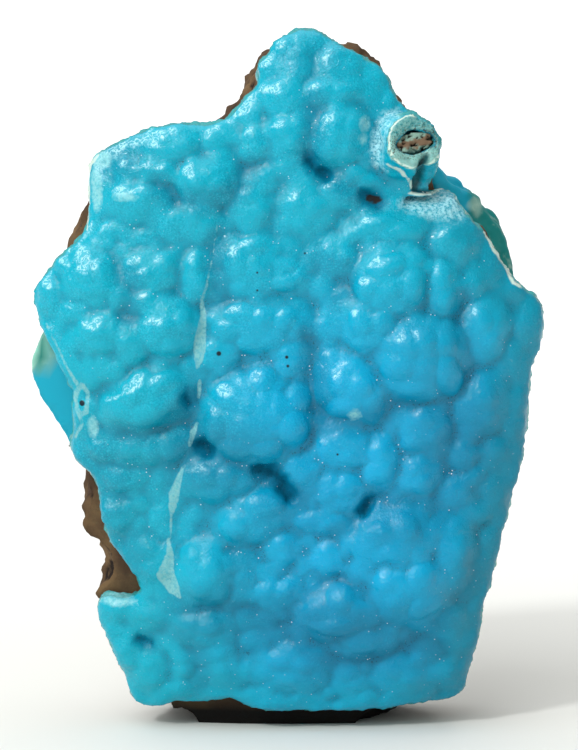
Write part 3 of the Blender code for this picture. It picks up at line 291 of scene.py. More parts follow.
    (-12.8, 6.2, 0.8, 0.8, 0, 0.16), (-12.2, 4.6, 0.8, 0.8, 0, 0.14),
    (-9.8, 7.1, 0.9, 0.9, 0, 0.16), (-9.2, 5.6, 0.9, 0.8, 0, 0.16),
    (-6.6, 7.3, 1.1, 0.9, 0, 0.18), (-5.8, 5.7, 1.1, 0.9, 0, 0.18),
    (-3.8, 6.2, 0.7, 0.7, 0, 0.18), (-0.7, 6.7, 1.3, 1.0, 0, 0.20),
    (1.4, 6.2, 1.3, 1.0, 0, 0.18), (0.1, 4.6, 1.4, 0.9, 0, 0.16), (2.8, 5.2, 1.0, 1.0, 0, 0.16),
    (5.3, 5.7, 1.0, 0.8, 0, 0.16), (6.2, 4.6, 1.0, 0.8, 0, 0.14), (9.2, 5.8, 1.2, 0.9, 0, 0.16),
    (11.1, 5.0, 1.2, 1.0, 0, 0.16), (14.5, 5.2, 0.9, 0.8, 0, 0.14),
    # left of the lower part
    (-14.6, 22.6, 1.7, 0.6, -5, 0.18), (-16.0, 20.4, 1.1, 0.8, 0, 0.16),
    (-15.2, 19.0, 1.0, 0.8, 0, 0.14), (-12.8, 17.0, 1.2, 1.0, 0, 0.16),
    (-12.0, 15.0, 1.2, 1.0, 0, 0.16),
)

# The front crust's broken edge, seen from the front: across, up, clockwise from the crown.
CRUST_OUTLINE = (
    (1.4, 63.1), (2.9, 62.7), (4.5, 61.5), (6.3, 60.6), (8.1, 59.6), (8.9, 58.6), (9.1, 57.3),
    (9.9, 56.3), (10.9, 55.7), (12.4, 54.6), (13.1, 53.2), (12.9, 51.4), (12.5, 50.1),
    (12.1, 48.8), (13.9, 48.9), (14.6, 48.4), (15.9, 46.3), (17.1, 45.3), (18.0, 44.0),
    (18.4, 42.9), (19.1, 42.0), (19.8, 41.1), (20.7, 40.0), (21.6, 39.6), (22.4, 38.9),
    (22.8, 37.1), (22.5, 34.8), (21.6, 33.3), (21.4, 31.2), (21.2, 27.5), (20.8, 24.8),
    (20.2, 22.5), (19.6, 19.6), (19.0, 18.4), (18.9, 16.6), (18.3, 14.6), (18.2, 13.4),
    (17.4, 11.6), (17.3, 9.9), (16.8, 7.4), (16.2, 5.1), (15.7, 3.1), (14.6, 2.5), (11.9, 2.3),
    (10.1, 2.1), (8.7, 1.8), (-1.7, 1.8), (-3.4, 2.1), (-4.4, 2.6), (-5.4, 3.3), (-6.4, 2.8),
    (-7.6, 2.5), (-9.9, 2.6), (-11.2, 2.1), (-13.1, 1.8), (-13.9, 2.3), (-14.4, 3.4),
    (-14.9, 4.9), (-15.6, 6.3), (-16.1, 7.9), (-17.1, 9.9), (-17.2, 11.4), (-16.7, 12.5),
    (-14.8, 12.1), (-12.8, 12.5), (-13.3, 13.9), (-14.8, 16.0), (-15.9, 17.2), (-16.5, 18.9),
    (-16.8, 20.7), (-17.0, 22.5), (-17.3, 23.6), (-18.4, 24.2), (-19.2, 24.8), (-19.5, 26.2),
    (-19.0, 28.5), (-19.2, 29.6), (-18.9, 31.2), (-19.6, 32.5), (-20.4, 33.9), (-21.0, 35.3),
    (-21.8, 36.8), (-22.5, 38.3), (-22.7, 39.3), (-22.1, 40.7), (-21.0, 42.0), (-19.7, 43.4),
    (-18.3, 44.7), (-17.7, 46.1), (-17.7, 50.5), (-17.5, 51.6), (-16.8, 52.2), (-15.1, 52.9),
    (-12.4, 54.2), (-9.7, 54.7), (-7.5, 54.6), (-5.3, 55.1), (-4.4, 56.4), (-3.3, 57.5),
    (-2.4, 58.2), (-2.9, 59.3), (-2.8, 60.2), (-2.0, 60.5), (-1.5, 60.5), (-1.5, 61.4),
    (-0.8, 62.2), (0.1, 62.7),
)

specimen = bpy.data.collections.new("hemimorphite_specimen_looks")
bpy.context.scene.collection.children.link(specimen)


def link_up(bm, name):
    """A new object in the scene with this bmesh, shaded smooth."""
    mesh = bpy.data.meshes.new(name)
    bm.to_mesh(mesh)
    bm.free()
    mesh.shade_smooth()
    made = bpy.data.objects.new(name, mesh)
    specimen.objects.link(made)
    return made


def apply_all(made):
    """Applies the object's modifiers to its mesh."""
    bpy.context.view_layer.update()
    graph = bpy.context.evaluated_depsgraph_get()
    mesh = bpy.data.meshes.new_from_object(made.evaluated_get(graph))
    made.modifiers.clear()
    made.data = mesh


def one_skin(made, cell, smoothing, passes):
    """A voxel skin round all of the object's overlapping shapes, with its corners eased."""
    skin = made.modifiers.new("one_skin", "REMESH")
    skin.mode = "VOXEL"
    skin.voxel_size = cell * MM
    skin.use_smooth_shade = True
    ease = made.modifiers.new("ease", "SMOOTH")
    ease.factor = smoothing
    ease.iterations = passes
    apply_all(made)


def carve(made, operation, bm):
    """Cuts the object by a closed shape, or joins the shape to it."""
    tool = link_up(bm, "tool")
    boolean = made.modifiers.new("carve", "BOOLEAN")
    boolean.operation = operation
    boolean.solver = "MANIFOLD"
    boolean.object = tool
    apply_all(made)
    bpy.data.objects.remove(tool, do_unlink=True)


def prism(points, front, back):
    """An outline in X and Z, extruded from front to back along Y."""
    bm = bmesh.new()
    corners = [bm.verts.new((x * MM, front * MM, z * MM)) for x, z in points]
    grown = bmesh.ops.extrude_face_region(bm, geom=[bm.faces.new(corners)])
    far = [item for item in grown["geom"] if isinstance(item, bmesh.types.BMVert)]
    bmesh.ops.translate(bm, vec=(0, (back - front) * MM, 0), verts=far)
    bmesh.ops.triangulate(bm, faces=bm.faces)
    bmesh.ops.recalc_face_normals(bm, faces=bm.faces)
    return bm


def grown_outline(points, step):
    """The outline moved outwards by step, for points that run clockwise."""
    moved = []
    for before, here, after in zip(points[-1:] + points[:-1], points, points[1:] + points[:1]):
        along = Vector((after[0] - before[0], after[1] - before[1])).normalized()
        moved.append((here[0] - along.y * step, here[1] + along.x * step))
    return tuple(moved)


def wide_ellipsoid(shrink, segments, rings):
    """The ellipsoid that the crust follows, or one inside it, with its poles to front and back."""
    bm = bmesh.new()
    reach = PLATE_REACH - Vector((1, 1, 1)) * shrink
    place = Matrix.Translation(PLATE_CENTRE * MM) @ Matrix.Diagonal((*(reach * MM), 1.0))
    place = place @ Matrix.Rotation(math.pi / 2, 4, "X")
    bmesh.ops.create_uvsphere(bm, u_segments=segments, v_segments=rings, radius=1.0, matrix=place)
    return bm


def bed(clearance):
    """The rock's side of the crust: the inner ellipsoid, straight behind its widest ring."""
    bm = wide_ellipsoid(CRUST_THICKNESS + clearance, 96, 48)
    for vert in bm.verts:
        if vert.co.y > (PLATE_CENTRE.y + 0.01) * MM:
            vert.co.y = (PLATE_CENTRE.y + 18.0) * MM
    bmesh.ops.recalc_face_normals(bm, faces=bm.faces)
    return bm


def points_of(mesh):
    """The mesh's points in millimetres, and the way the surface faces at each."""
    count = len(mesh.vertices)
    where = np.empty(count * 3, dtype=np.float32)
    facing = np.empty(count * 3, dtype=np.float32)
    mesh.vertices.foreach_get("co", where)
    mesh.vertex_normals.foreach_get("vector", facing)
    return where.reshape(-1, 3).astype(np.float64) / MM, facing.reshape(-1, 3).astype(np.float64)


def move_points(mesh, where):
    """Moves the mesh's points to these places in millimetres."""
    mesh.vertices.foreach_set("co", (where * MM).astype(np.float32).ravel())
    mesh.update()


def fade(values, start, end):
    """A smooth step from 0 at start to 1 at end."""
    share = ((values - start) / (end - start)).clip(0.0, 1.0)
    return share * share * (3.0 - 2.0 * share)


# The noise's own tables: a shuffled lattice, and the slope at each of its corners.
LATTICE = np.random.default_rng(7).permutation(256)
SLOPES = np.random.default_rng(8).normal(size=(256, 3))
SLOPES /= np.linalg.norm(SLOPES, axis=1)[:, None]


def noise_at(where, size, offset, octaves=1):
    """Smooth gradient noise, about -1 to 1, at each point, with this spacing in millimetres."""
    total = np.zeros(len(where))
    share = 1.0
    for octave in range(octaves):
        place = where / size * 2**octave + np.array(offset) + 17.3 * octave
        corner = np.floor(place).astype(int)
        inside = place - corner
        ease = inside**3 * (inside * (inside * 6.0 - 15.0) + 10.0)
        for i in (0, 1):
            for j in (0, 1):
                for k in (0, 1):
                    key = LATTICE[(corner[:, 0] + i) & 255]
                    key = LATTICE[(key + corner[:, 1] + j) & 255]
                    key = LATTICE[(key + corner[:, 2] + k) & 255]
                    step = np.array((i, j, k))
                    weight = np.where(step == 1, ease, 1.0 - ease).prod(axis=1)
                    total += 1.6 * share * weight * (SLOPES[key] * (inside - step)).sum(axis=1)
        share *= 0.55
    return total


def higher(one, other, softness):
    """The higher of two surfaces, with the crease between them filled softly."""
    near = (softness - abs(one - other)).clip(0.0)
    return np.maximum(one, other) + near * near / (4.0 * softness)


def cap(across, up, x, z, half_width, half_height, lean, rise):
    """A lump's height over its ground: an ellipsoid's tip, which goes on down past its foot."""
    turn = np.radians(lean)
    aside = ((across - x) * np.cos(turn) + (up - z) * np.sin(turn)) / half_width
    above = ((up - z) * np.cos(turn) - (across - x) * np.sin(turn)) / half_height
    depth = (1.0 + rise * rise) / (2.0 * rise)
    span = (depth * depth - aside * aside - above * above).clip(0.0)
    return np.sqrt(half_width * half_height) * (np.sqrt(span) - depth + rise)


def wandered(across, up):
    """The same points led a little astray, so that no lump's outline is a true ellipse."""
    flat = np.stack((across, np.zeros(len(across)), up), axis=1)
    for size, amount in WANDERS:
        across = across + amount * noise_at(flat, size, (1.0, 0.5, 2.0))
        up = up + amount * noise_at(flat, size, (6.0, 0.5, 9.0))
    return across, up


def grown_together(across, up, lumps, floor, meeting):
    """The height of all these lumps over their ground."""
    union = np.full(len(across), floor)
    for lump in lumps:
        union = higher(union, cap(across, up, *lump), meeting)
    return union


# The plate that carries the lumps: a piece of the wide ellipsoid with rounded edges.
crust = link_up(wide_ellipsoid(0.0, 128, 96), "front_crust")
carve(crust, "INTERSECT", prism(grown_outline(CRUST_OUTLINE, 0.1), -14.0, PLATE_CENTRE.y + 2.0))
one_skin(crust, 0.5, 0.5, 8)
one_skin(crust, PLATE_CELL, 0.5, 1)

# How softly lumps meet, how deep it is between them, and how their outlines wander.
MEETING = 0.26
LESSER_MEETING = 0.06
LUMP_FLOOR = -0.45
LESSER_FLOOR = -0.05
WANDERS = ((3.6, 0.32), (1.4, 0.13))
# How much wider the lumps are at the foot, and how much taller the lesser ones stand.
FOOT_SPREAD = 1.12
LESSER_STEEPER = 1.4
lumps = [
    (x, z, width * FOOT_SPREAD, height * FOOT_SPREAD, lean, rise)
    for x, z, width, height, lean, rise in LUMPS
]

# Small low lumps that fill the gaps between those, and bumps all over.
FILL_STEP = 1.4
FILL_SIZE = (0.7, 1.3)
FILL_GAP = -0.12
FILL_RISE = 0.18
BUMP_STEP = 1.55
BUMP_SIZE = (0.6, 1.25)
BUMP_RISE = (0.05, 0.18)
shuffle = random.Random(11)
for x in np.arange(-24.0, 24.0, FILL_STEP):
    for z in np.arange(1.0, 64.0, FILL_STEP):
        spot = (x + shuffle.uniform(-0.5, 0.5), z + shuffle.uniform(-0.5, 0.5))
        size = shuffle.uniform(*FILL_SIZE)
        lump = (*spot, size, size * shuffle.uniform(0.8, 1.2), shuffle.uniform(0, 90), FILL_RISE)
        if cap(*spot, *np.array(lumps).T).max() < FILL_GAP:
            lumps.append(lump)
lesser = [(*lump[:5], lump[5] * LESSER_STEEPER) for lump in SUB_LUMPS]
for x in np.arange(-24.0, 24.0, BUMP_STEP):
    for z in np.arange(1.0, 64.0, BUMP_STEP):
        spot = (x + shuffle.uniform(-0.8, 0.8), z + shuffle.uniform(-0.8, 0.8))
        size = shuffle.uniform(*BUMP_SIZE)
        tall = size * shuffle.uniform(0.75, 1.3)
        lesser.append((*spot, size, tall, shuffle.uniform(0, 90), shuffle.uniform(*BUMP_RISE)))

where, facing = points_of(crust.data)
height = np.zeros(len(where))
for x, z, half_width, half_height, rise in SWELLS:
    reach = ((where[:, 0] - x) / half_width) ** 2 + ((where[:, 2] - z) / half_height) ** 2
    height += rise * (1.0 - reach * 0.5).clip(0.0) ** 2
height += grown_together(*wandered(where[:, 0], where[:, 2]), lumps, LUMP_FLOOR, MEETING)
front = fade(-facing[:, 1], 0.1, 0.55)
way = facing + np.array([0.0, -1.0, 0.0])
way /= np.linalg.norm(way, axis=1)[:, None].clip(1e-6)
move_points(crust.data, where + way * (height * front)[:, None])

# The stub at the upper right: a cone of crust, with a slanting oval hole for its rock core.
STUB_ROOT = Vector((10.5, -5.3, 52.6))
STUB_AXIS = Vector((0.16, -0.95, 0.26)).normalized()
STUB_LENGTH = 3.6
STUB_END_RADIUS = 2.5
STUB_ROOT_RADIUS = 3.4
CORE_HALF_WIDTH = 1.8
CORE_HALF_HEIGHT = 0.9
CORE_TILT = 12.0
CORE_RECESS = 0.35
CORE_START = -5.0
stub_turn = STUB_AXIS.to_track_quat("Z", "Y").to_matrix().to_4x4()


def core_rod(clearance):
    """The rock core of the stub, or the hole for it. It starts inside the rock."""
    bm = bmesh.new()
    end = STUB_LENGTH - CORE_RECESS + (6.0 if clearance else 0.0)
    place = Matrix.Translation((STUB_ROOT + STUB_AXIS * ((CORE_START + end) / 2)) * MM) @ stub_turn
    place = place @ Matrix.Rotation(math.radians(CORE_TILT), 4, "Z")
    width, height = CORE_HALF_WIDTH + clearance, CORE_HALF_HEIGHT + clearance
    place = place @ Matrix.Diagonal((width, height, 1, 1))
    depth = (end - CORE_START) * MM
    bmesh.ops.create_cone(
        bm, cap_ends=True, segments=32, radius1=MM, radius2=MM, depth=depth, matrix=place
    )
    return bm


# The break below the stub: a thin slanting block is taken out of the crust there.
SHELF_MIDDLE = Vector((13.0, -6.3, 47.8))
SHELF_WIDTH = 6.0
SHELF_DEPTH = 9.0
SHELF_OPENING = 0.6
SHELF_SLOPE = 30.0


def shelf_block():
    """A block whose underside is the slanting break below the stub."""
    bm = bmesh.new()
    place = Matrix.Translation(SHELF_MIDDLE * MM)
    place = place @ Matrix.Rotation(math.radians(SHELF_SLOPE), 4, "X")
    place = place @ Matrix.Diagonal((SHELF_WIDTH * MM, SHELF_DEPTH * MM, SHELF_OPENING * MM, 1))
    bmesh.ops.create_cube(bm, size=1.0, matrix=place @ Matrix.Translation((0, 0, 0.5)))
    return bm


bm = bmesh.new()
bm.from_mesh(crust.data)
place = Matrix.Translation((STUB_ROOT + STUB_AXIS * (STUB_LENGTH / 2)) * MM) @ stub_turn
bmesh.ops.create_cone(
    bm,
    cap_ends=True,
    segments=48,
    radius1=STUB_ROOT_RADIUS * MM,
    radius2=STUB_END_RADIUS * MM,
    depth=STUB_LENGTH * MM,
    matrix=place,
)
bm.to_mesh(crust.data)
bm.free()
one_skin(crust, PLATE_CELL, 0.5, 1)
carve(crust, "INTERSECT", prism(grown_outline(CRUST_OUTLINE, 0.25), -30.0, PLATE_CENTRE.y + 1.5))
carve(crust, "DIFFERENCE", bed(0.0))
carve(crust, "DIFFERENCE", core_rod(0.1))
carve(crust, "DIFFERENCE", shelf_block())
CRUST_CELL = 0.26
one_skin(crust, CRUST_CELL, 0.5, 2)

# Fine shaping, point by point: fibre-tip grain, soft unevenness, and rough broken walls.
# FAR is the distance given to points that a mark doesn't reach.
FAR = 9.0
GRAIN_SIZE = 0.55
GRAIN_HEIGHT = 0.02
SOFT_SIZE = 1.9
SOFT_HEIGHT = 0.05
WALL_SIZE = 0.9
WALL_HEIGHT = 0.22

# Deep gaps between lumps, also painted dark as their shade: the line each follows, and its half
# width.
CREVICE_DEPTH = 0.7
CREVICES = (
    (((-2.6, 24.4), (-1.3, 23.9), (-0.6, 22.8), (0.0, 21.9)), 0.25),
    (((-8.0, 26.6), (-7.2, 26.0)), 0.15),
    (((-9.1, 31.0), (-8.8, 30.4)), 0.1),
    (((7.2, 21.5), (6.6, 20.5)), 0.0),
    (((1.8, 51.8), (2.2, 51.2)), 0.1),
    (((2.6, 50.9), (3.4, 50.4)), 0.0),
    (((6.8, 48.6), (7.9, 48.2)), 0.2),
    (((-13.6, 8.4), (-12.6, 8.0)), 0.0),
)

# Pale healed cracks: points along each, with the crack's half width there.
SEAMS = (
    ((-6.4, 46.1, 0.04), (-6.6, 43.9, 0.04), (-7.1, 41.7, 0.05), (-7.7, 39.5, 0.12),
     (-7.6, 38.0, 0.28), (-7.8, 36.4, 0.46), (-7.9, 35.1, 0.54), (-8.0, 34.2, 0.36),
     (-8.1, 33.5, 0.14)),
    ((-7.9, 32.4, 0.11), (-7.9, 31.6, 0.18), (-8.0, 30.8, 0.10)),
    ((-8.1, 28.5, 0.09), (-8.5, 27.7, 0.27), (-8.8, 26.5, 0.16)),
    ((-9.3, 24.7, 0.10), (-9.8, 23.4, 0.28), (-10.2, 22.0, 0.48), (-10.4, 20.7, 0.32),
     (-10.5, 19.8, 0.08), (-10.6, 17.9, 0.06)),
    ((-10.8, 17.9, 0.11), (-10.6, 16.5, 0.36), (-11.0, 14.7, 0.78), (-10.3, 13.5, 0.60),
     (-9.8, 12.7, 0.16)),
    ((-21.6, 37.1, 0.05), (-20.8, 35.7, 0.06), (-20.2, 34.4, 0.08), (-19.5, 33.1, 0.10),
     (-18.8, 31.8, 0.16)),
    ((-19.0, 30.4, 0.16), (-18.8, 31.3, 0.22), (-18.4, 31.8, 0.20), (-17.9, 31.1, 0.16),
     (-17.9, 30.2, 0.16), (-18.0, 29.3, 0.20), (-18.6, 29.1, 0.22), (-18.9, 29.6, 0.18),
     (-19.0, 30.4, 0.16)),
    ((-18.6, 29.1, 0.14), (-18.4, 28.2, 0.12), (-18.8, 27.5, 0.14), (-19.1, 26.8, 0.10)),
)

# The cream line of the crust's outermost layer, where it is broken across: in the same terms.
CREAM_EDGES = (
    ((10.6, 48.8, 0.13), (11.5, 48.7, 0.14), (12.6, 48.7, 0.14), (14.0, 49.1, 0.12)),
    ((8.8, 51.6, 0.12), (9.6, 51.0, 0.14), (10.3, 50.4, 0.14), (10.7, 49.8, 0.14),
     (10.9, 49.2, 0.12)),
    ((15.7, 47.0, 0.13), (16.6, 46.2, 0.16), (17.3, 45.5, 0.18), (17.8, 44.6, 0.21),
     (18.1, 43.7, 0.16), (18.6, 43.1, 0.16), (19.1, 42.4, 0.16), (19.4, 41.8, 0.16),
     (19.9, 40.7, 0.14), (20.6, 40.2, 0.11)),
    ((-17.9, 45.2, 0.08), (-17.8, 49.0, 0.10), (-17.6, 51.2, 0.12), (-16.9, 52.0, 0.08)),
)

# Frosted, crushed crust round the stub and on the shelf below it.
FROSTED = (
    ((9.9, 47.9, 0.35), (11.1, 47.8, 0.79), (12.6, 47.6, 1.14), (14.2, 47.5, 1.06),
     (15.1, 47.0, 0.53)),
    ((9.4, 55.8, 0.35), (8.7, 55.5, 0.53), (8.0, 54.2, 0.53), (7.6, 52.7, 0.61),
     (8.0, 51.5, 0.44), (8.5, 51.0, 0.26)),
)

# Grooves down the stub and along the top of the shelf.
GROOVE_DEPTH = 0.6
GROOVES = (
    ((12.1, 52.3, 0.26), (11.8, 51.6, 0.44), (11.6, 50.7, 0.48), (11.3, 49.7, 0.44),
     (11.1, 49.2, 0.26)),
    ((11.0, 49.0, 0.18), (12.4, 49.0, 0.16), (13.9, 49.4, 0.13)),
)

# Pinholes, painted black as their shade: across, up, radius.
PINHOLES = (
    (-6.2, 34.8, 0.21), (-0.2, 34.5, 0.15), (-0.1, 33.7, 0.13), (-2.8, 42.0, 0.09),
    (-2.8, 40.4, 0.09), (1.4, 43.6, 0.09), (4.3, 25.8, 0.10), (-18.4, 30.1, 0.25),
)

# Patches where the crust is worn or clay-stained pale: across, up, half width, half height.
PALE_PATCHES = (
    (5.8, 29.5, 0.5, 0.5), (-14.4, 48.5, 0.9, 0.35), (6.6, 54.9, 0.5, 0.6),
    (6.5, 53.6, 0.35, 0.4), (-16.6, 51.6, 0.9, 0.7), (-17.0, 49.0, 0.5, 1.9),
    (-17.4, 28.0, 0.45, 0.9), (-15.4, 12.0, 1.5, 0.5),
)

# A pit that goes through to the brown rock: across, up, half width, half height.
BROWN_PIT = (7.5, 48.3, 0.8, 0.4)

# The crests that face this way, toward the key light, get a painted highlight: pale crackle where
# its reflection falls.
KEY_LIGHT_WAY = (-0.42, -0.72, 0.55)

# Broad dips painted a darker blue as their shade: across, up, half width, half height, share.
SHADED_DIPS = (
    (-7.0, 25.8, 6.0, 4.2, 0.50), (-16.5, 23.0, 3.8, 6.0, 0.35), (-15.6, 52.0, 3.2, 2.4, 0.40),
    (12.0, 36.0, 5.0, 4.5, 0.18), (15.5, 26.5, 5.2, 6.5, 0.45), (3.0, 10.2, 9.0, 3.4, 0.50),
    (-7.5, 11.3, 4.6, 2.6, 0.40), (6.0, 6.8, 7.5, 2.2, 0.35), (-15.0, 16.8, 3.2, 3.6, 0.35),
    (10.0, 19.6, 6.0, 2.6, 0.35), (0.0, 21.4, 5.0, 3.0, 0.25), (2.0, 60.6, 3.2, 2.0, 0.25),
    (-13.5, 27.2, 4.6, 1.3, 0.30), (1.8, 33.0, 1.4, 4.5, 0.25), (-1.5, 10.8, 4.0, 2.0, 0.20),
)

# Valleys between lump groups, with painted shade: the line each follows, and how much darker its
# blue is.
SHADED_VALLEYS = (
    (((-7.5, 12.0), (-5.4, 11.8), (-3.5, 11.4), (-1.7, 10.9), (-0.4, 9.7), (1.0, 8.3),
     (2.8, 7.3), (4.1, 6.7), (6.4, 6.9), (8.6, 7.3), (11.3, 8.1), (13.6, 7.6)), 0.50),
    (((-10.6, 25.0), (-8.8, 25.7), (-7.6, 26.4), (-6.6, 25.1), (-4.3, 24.7), (-2.4, 24.2),
     (-0.4, 22.9), (1.0, 21.7)), 0.50),
    (((4.1, 18.7), (5.6, 19.5), (6.5, 20.6), (7.4, 21.9), (9.9, 21.6), (12.7, 21.0),
     (14.5, 23.8), (13.9, 27.0), (14.7, 29.2)), 0.40),
    (((1.7, 36.5), (2.2, 35.0), (2.5, 32.5), (2.7, 28.2), (5.4, 28.5), (8.5, 29.6),
     (10.0, 30.4), (12.7, 30.0)), 0.40),
    (((-15.2, 27.6), (-13.2, 27.5), (-11.0, 28.2), (-9.4, 29.9), (-8.8, 31.0)), 0.45),
    (((2.1, 57.0), (2.1, 54.4), (1.9, 52.0), (2.9, 50.8), (4.9, 49.6), (7.3, 48.2)), 0.40),
    (((-3.6, 51.0), (-4.2, 49.8), (-5.2, 48.7), (-7.4, 48.1), (-10.5, 48.5), (-11.6, 49.8)),
     0.35),
    (((-6.3, 44.8), (-6.4, 42.2), (-6.0, 39.7)), 0.35),
    (((4.8, 41.1), (4.2, 39.9), (4.9, 42.2), (2.6, 42.9)), 0.30),
    (((-8.2, 4.5), (-8.0, 7.3), (-9.0, 8.9), (-10.8, 10.1)), 0.30),
    (((15.3, 39.8), (15.0, 37.2), (15.4, 34.5), (16.2, 32.5)), 0.35),
    (((-14.0, 41.6), (-14.0, 39.4), (-14.2, 38.0)), 0.35),
    (((2.8, 13.9), (5.0, 14.1), (6.5, 13.4), (7.1, 11.5)), 0.30),
    (((-4.7, 17.6), (-4.4, 14.8), (-4.7, 12.5)), 0.28),
    (((16.2, 15.9), (16.0, 13.1), (14.9, 12.0), (13.5, 9.7)), 0.30),
)
VALLEY_REACH = (0.2, 1.9)

# Three scales of hollow: how often the surface is smoothed, and the depth that counts as full.
FINE_HOLLOW = (12, 0.05)
HOLLOW = (45, 0.24)
BROAD_HOLLOW = (150, 0.50)


def neighbours(mesh):
    """The two points of each edge."""
    ends = np.empty(len(mesh.edges) * 2, dtype=np.int32)
    mesh.edges.foreach_get("vertices", ends)
    return ends.reshape(-1, 2)


def spread(values, ends, passes):
    """Averages a value or a vector over neighbouring points, this many times."""
    count = len(values)
    share = np.bincount(ends.ravel(), minlength=count).clip(1)
    values = values.reshape(count, -1).copy()
    for _ in range(passes):
        for column in range(values.shape[1]):
            part = values[:, column]
            total = np.bincount(ends[:, 0], weights=part[ends[:, 1]], minlength=count)
            total += np.bincount(ends[:, 1], weights=part[ends[:, 0]], minlength=count)
            values[:, column] = 0.5 * part + 0.5 * total / share
    return values if values.shape[1] > 1 else values[:, 0]


def hollowness(where, facing, ends, passes, full):
    """How far each point lies below the smoothed surface: 1 in a valley, -1 on a crest."""
    behind = spread(where, ends, passes) - where
    return ((behind * facing).sum(axis=1) / full).clip(-1.0, 1.0)


def store(mesh, name, values):
    """Keeps a value for each point, for the materials to read."""
    layer = mesh.attributes.new(name, "FLOAT", "POINT")
    layer.data.foreach_set("value", values.astype(np.float32))


def distance_to_line(across, up, line):
    """The distance in the X and Z plane from each point to an open line of points."""
    nearest = np.full(len(across), 1e9)
    for (ax, az), (bx, bz) in zip(line, line[1:]):
        dx, dz = bx - ax, bz - az
        along = ((across - ax) * dx + (up - az) * dz) / max(dx * dx + dz * dz, 1e-9)
        along = along.clip(0.0, 1.0)
        nearest = np.minimum(nearest, np.hypot(across - ax - along * dx, up - az - along * dz))
    return nearest


def distance_to_band(across, up, band):
    """The distance from each point to the edge of a band of changing half width: below 0 inside."""
    nearest = np.full(len(across), 1e9)
    for (ax, az, a_half), (bx, bz, b_half) in zip(band, band[1:]):
        dx, dz = bx - ax, bz - az
        along = (((across - ax) * dx + (up - az) * dz) / (dx * dx + dz * dz)).clip(0.0, 1.0)
        away = np.hypot(across - ax - along * dx, up - az - along * dz)
        nearest = np.minimum(nearest, away - a_half - along * (b_half - a_half))
    return nearest


mesh = crust.data
where, facing = points_of(mesh)
across, up = where[:, 0], where[:, 2]
to_edge = distance_to_line(across, up, CRUST_OUTLINE + CRUST_OUTLINE[:1])
outward = fade(-facing[:, 1], 0.05, 0.5)
wall = (1.0 - outward) * (1.0 - fade(to_edge, 0.5, 1.2))
to_crevice = np.full(len(across), FAR)
for line, half_width in CREVICES:
    to_crevice = np.minimum(to_crevice, distance_to_line(across, up, line) - half_width)
to_crevice += 0.2 * noise_at(where, 0.9, (3.0, 9.0, 6.0), 2)
to_band = {}
for name, bands in (
    ("to_seam", SEAMS),
    ("to_cream", CREAM_EDGES),
    ("to_frost", FROSTED),
    ("to_groove", GROOVES),
):
    to_band[name] = np.min([distance_to_band(across, up, band) for band in bands], axis=0)
to_patch = np.full(len(across), FAR)
for x, z, half_width, half_height in PALE_PATCHES:
    reach = np.hypot((across - x) / half_width, (up - z) / half_height)
    to_patch = np.minimum(to_patch, (reach - 1.0) * math.sqrt(half_width * half_height))

# The stub's coat is broken across: its end is rough, and uneven round a porous middle.
along_stub = (where - np.array(STUB_ROOT)) @ np.array(stub_turn.to_3x3())
reach = np.hypot(along_stub[:, 0], along_stub[:, 1])
on_stub = fade(along_stub[:, 2], 0.5, 1.3) * (1.0 - fade(reach, 3.3, 3.8))
in_stub = fade(along_stub[:, 2], 2.0, 2.6) * (1.0 - fade(reach, 2.6, 2.8))
on_end = in_stub * fade(facing @ np.array(STUB_AXIS), 0.45, 0.75)
leaned = math.radians(CORE_TILT)
wide = along_stub[:, 0] * math.cos(leaned) + along_stub[:, 1] * math.sin(leaned)
tall = along_stub[:, 1] * math.cos(leaned) - along_stub[:, 0] * math.sin(leaned)
to_core = np.hypot(wide / CORE_HALF_WIDTH, tall / CORE_HALF_HEIGHT) - 1.0

moves = SOFT_HEIGHT * noise_at(where, SOFT_SIZE, (2.0, 7.0, 1.0), 2) * outward
moves += GRAIN_HEIGHT * noise_at(where, GRAIN_SIZE, (9.0, 3.0, 4.0)) * outward
standing = grown_together(*wandered(across, up), lesser, LESSER_FLOOR, LESSER_MEETING)
moves += standing * outward * (1.0 - on_stub)
moves += WALL_HEIGHT * noise_at(where, WALL_SIZE, (1.0, 6.0, 2.0), 3) * wall
moves -= CREVICE_DEPTH * (1.0 - fade(to_crevice, -0.4, 0.8)) * outward
moves -= GROOVE_DEPTH * (1.0 - fade(to_band["to_groove"], -0.3, 0.2))
uneven = 0.34 * noise_at(where, 1.7, (3.0, 1.0, 8.0))
uneven += 0.12 * noise_at(where, 0.6, (5.0, 2.0, 4.0), 2)
moves += on_stub * uneven
pitted = fade(noise_at(where, 0.55, (8.0, 8.0, 1.0)), 0.0, 0.7) * (1.0 - fade(reach, 1.7, 2.2))
moves -= 0.5 * on_end * pitted
move_points(mesh, where + facing * moves[:, None])

where, facing = points_of(mesh)
ends = neighbours(mesh)
margin = 1.0 - fade(to_edge, 0.4, 5.5)
# Painted shade over the broad dips and along the main valleys.
dip_and_valley_shade = np.zeros(len(where))
for x, z, half_width, half_height, most in SHADED_DIPS:
    reach_of_zone = np.hypot((where[:, 0] - x) / half_width, (where[:, 2] - z) / half_height)
    dip_and_valley_shade = np.maximum(dip_and_valley_shade, most * (1.0 - fade(reach_of_zone, 0.2, 1.5)))
for line, most in SHADED_VALLEYS:
    to_valley = distance_to_line(where[:, 0], where[:, 2], line)
    dip_and_valley_shade = np.maximum(dip_and_valley_shade, most * (1.0 - fade(to_valley, *VALLEY_REACH)))
# Painted shade down the right margin and lower right, which turn away from the light.
rightward = fade(across, 7.0, 19.0)
deeper = fade(across, -15.0, 3.0) * (1.0 - 0.9 * fade(up, 28.0, 48.0)) * (1.0 - 0.5 * margin)
right_side_shade = 0.75 * margin * rightward + 0.35 * rightward * (1.0 - fade(up, 10.0, 40.0))
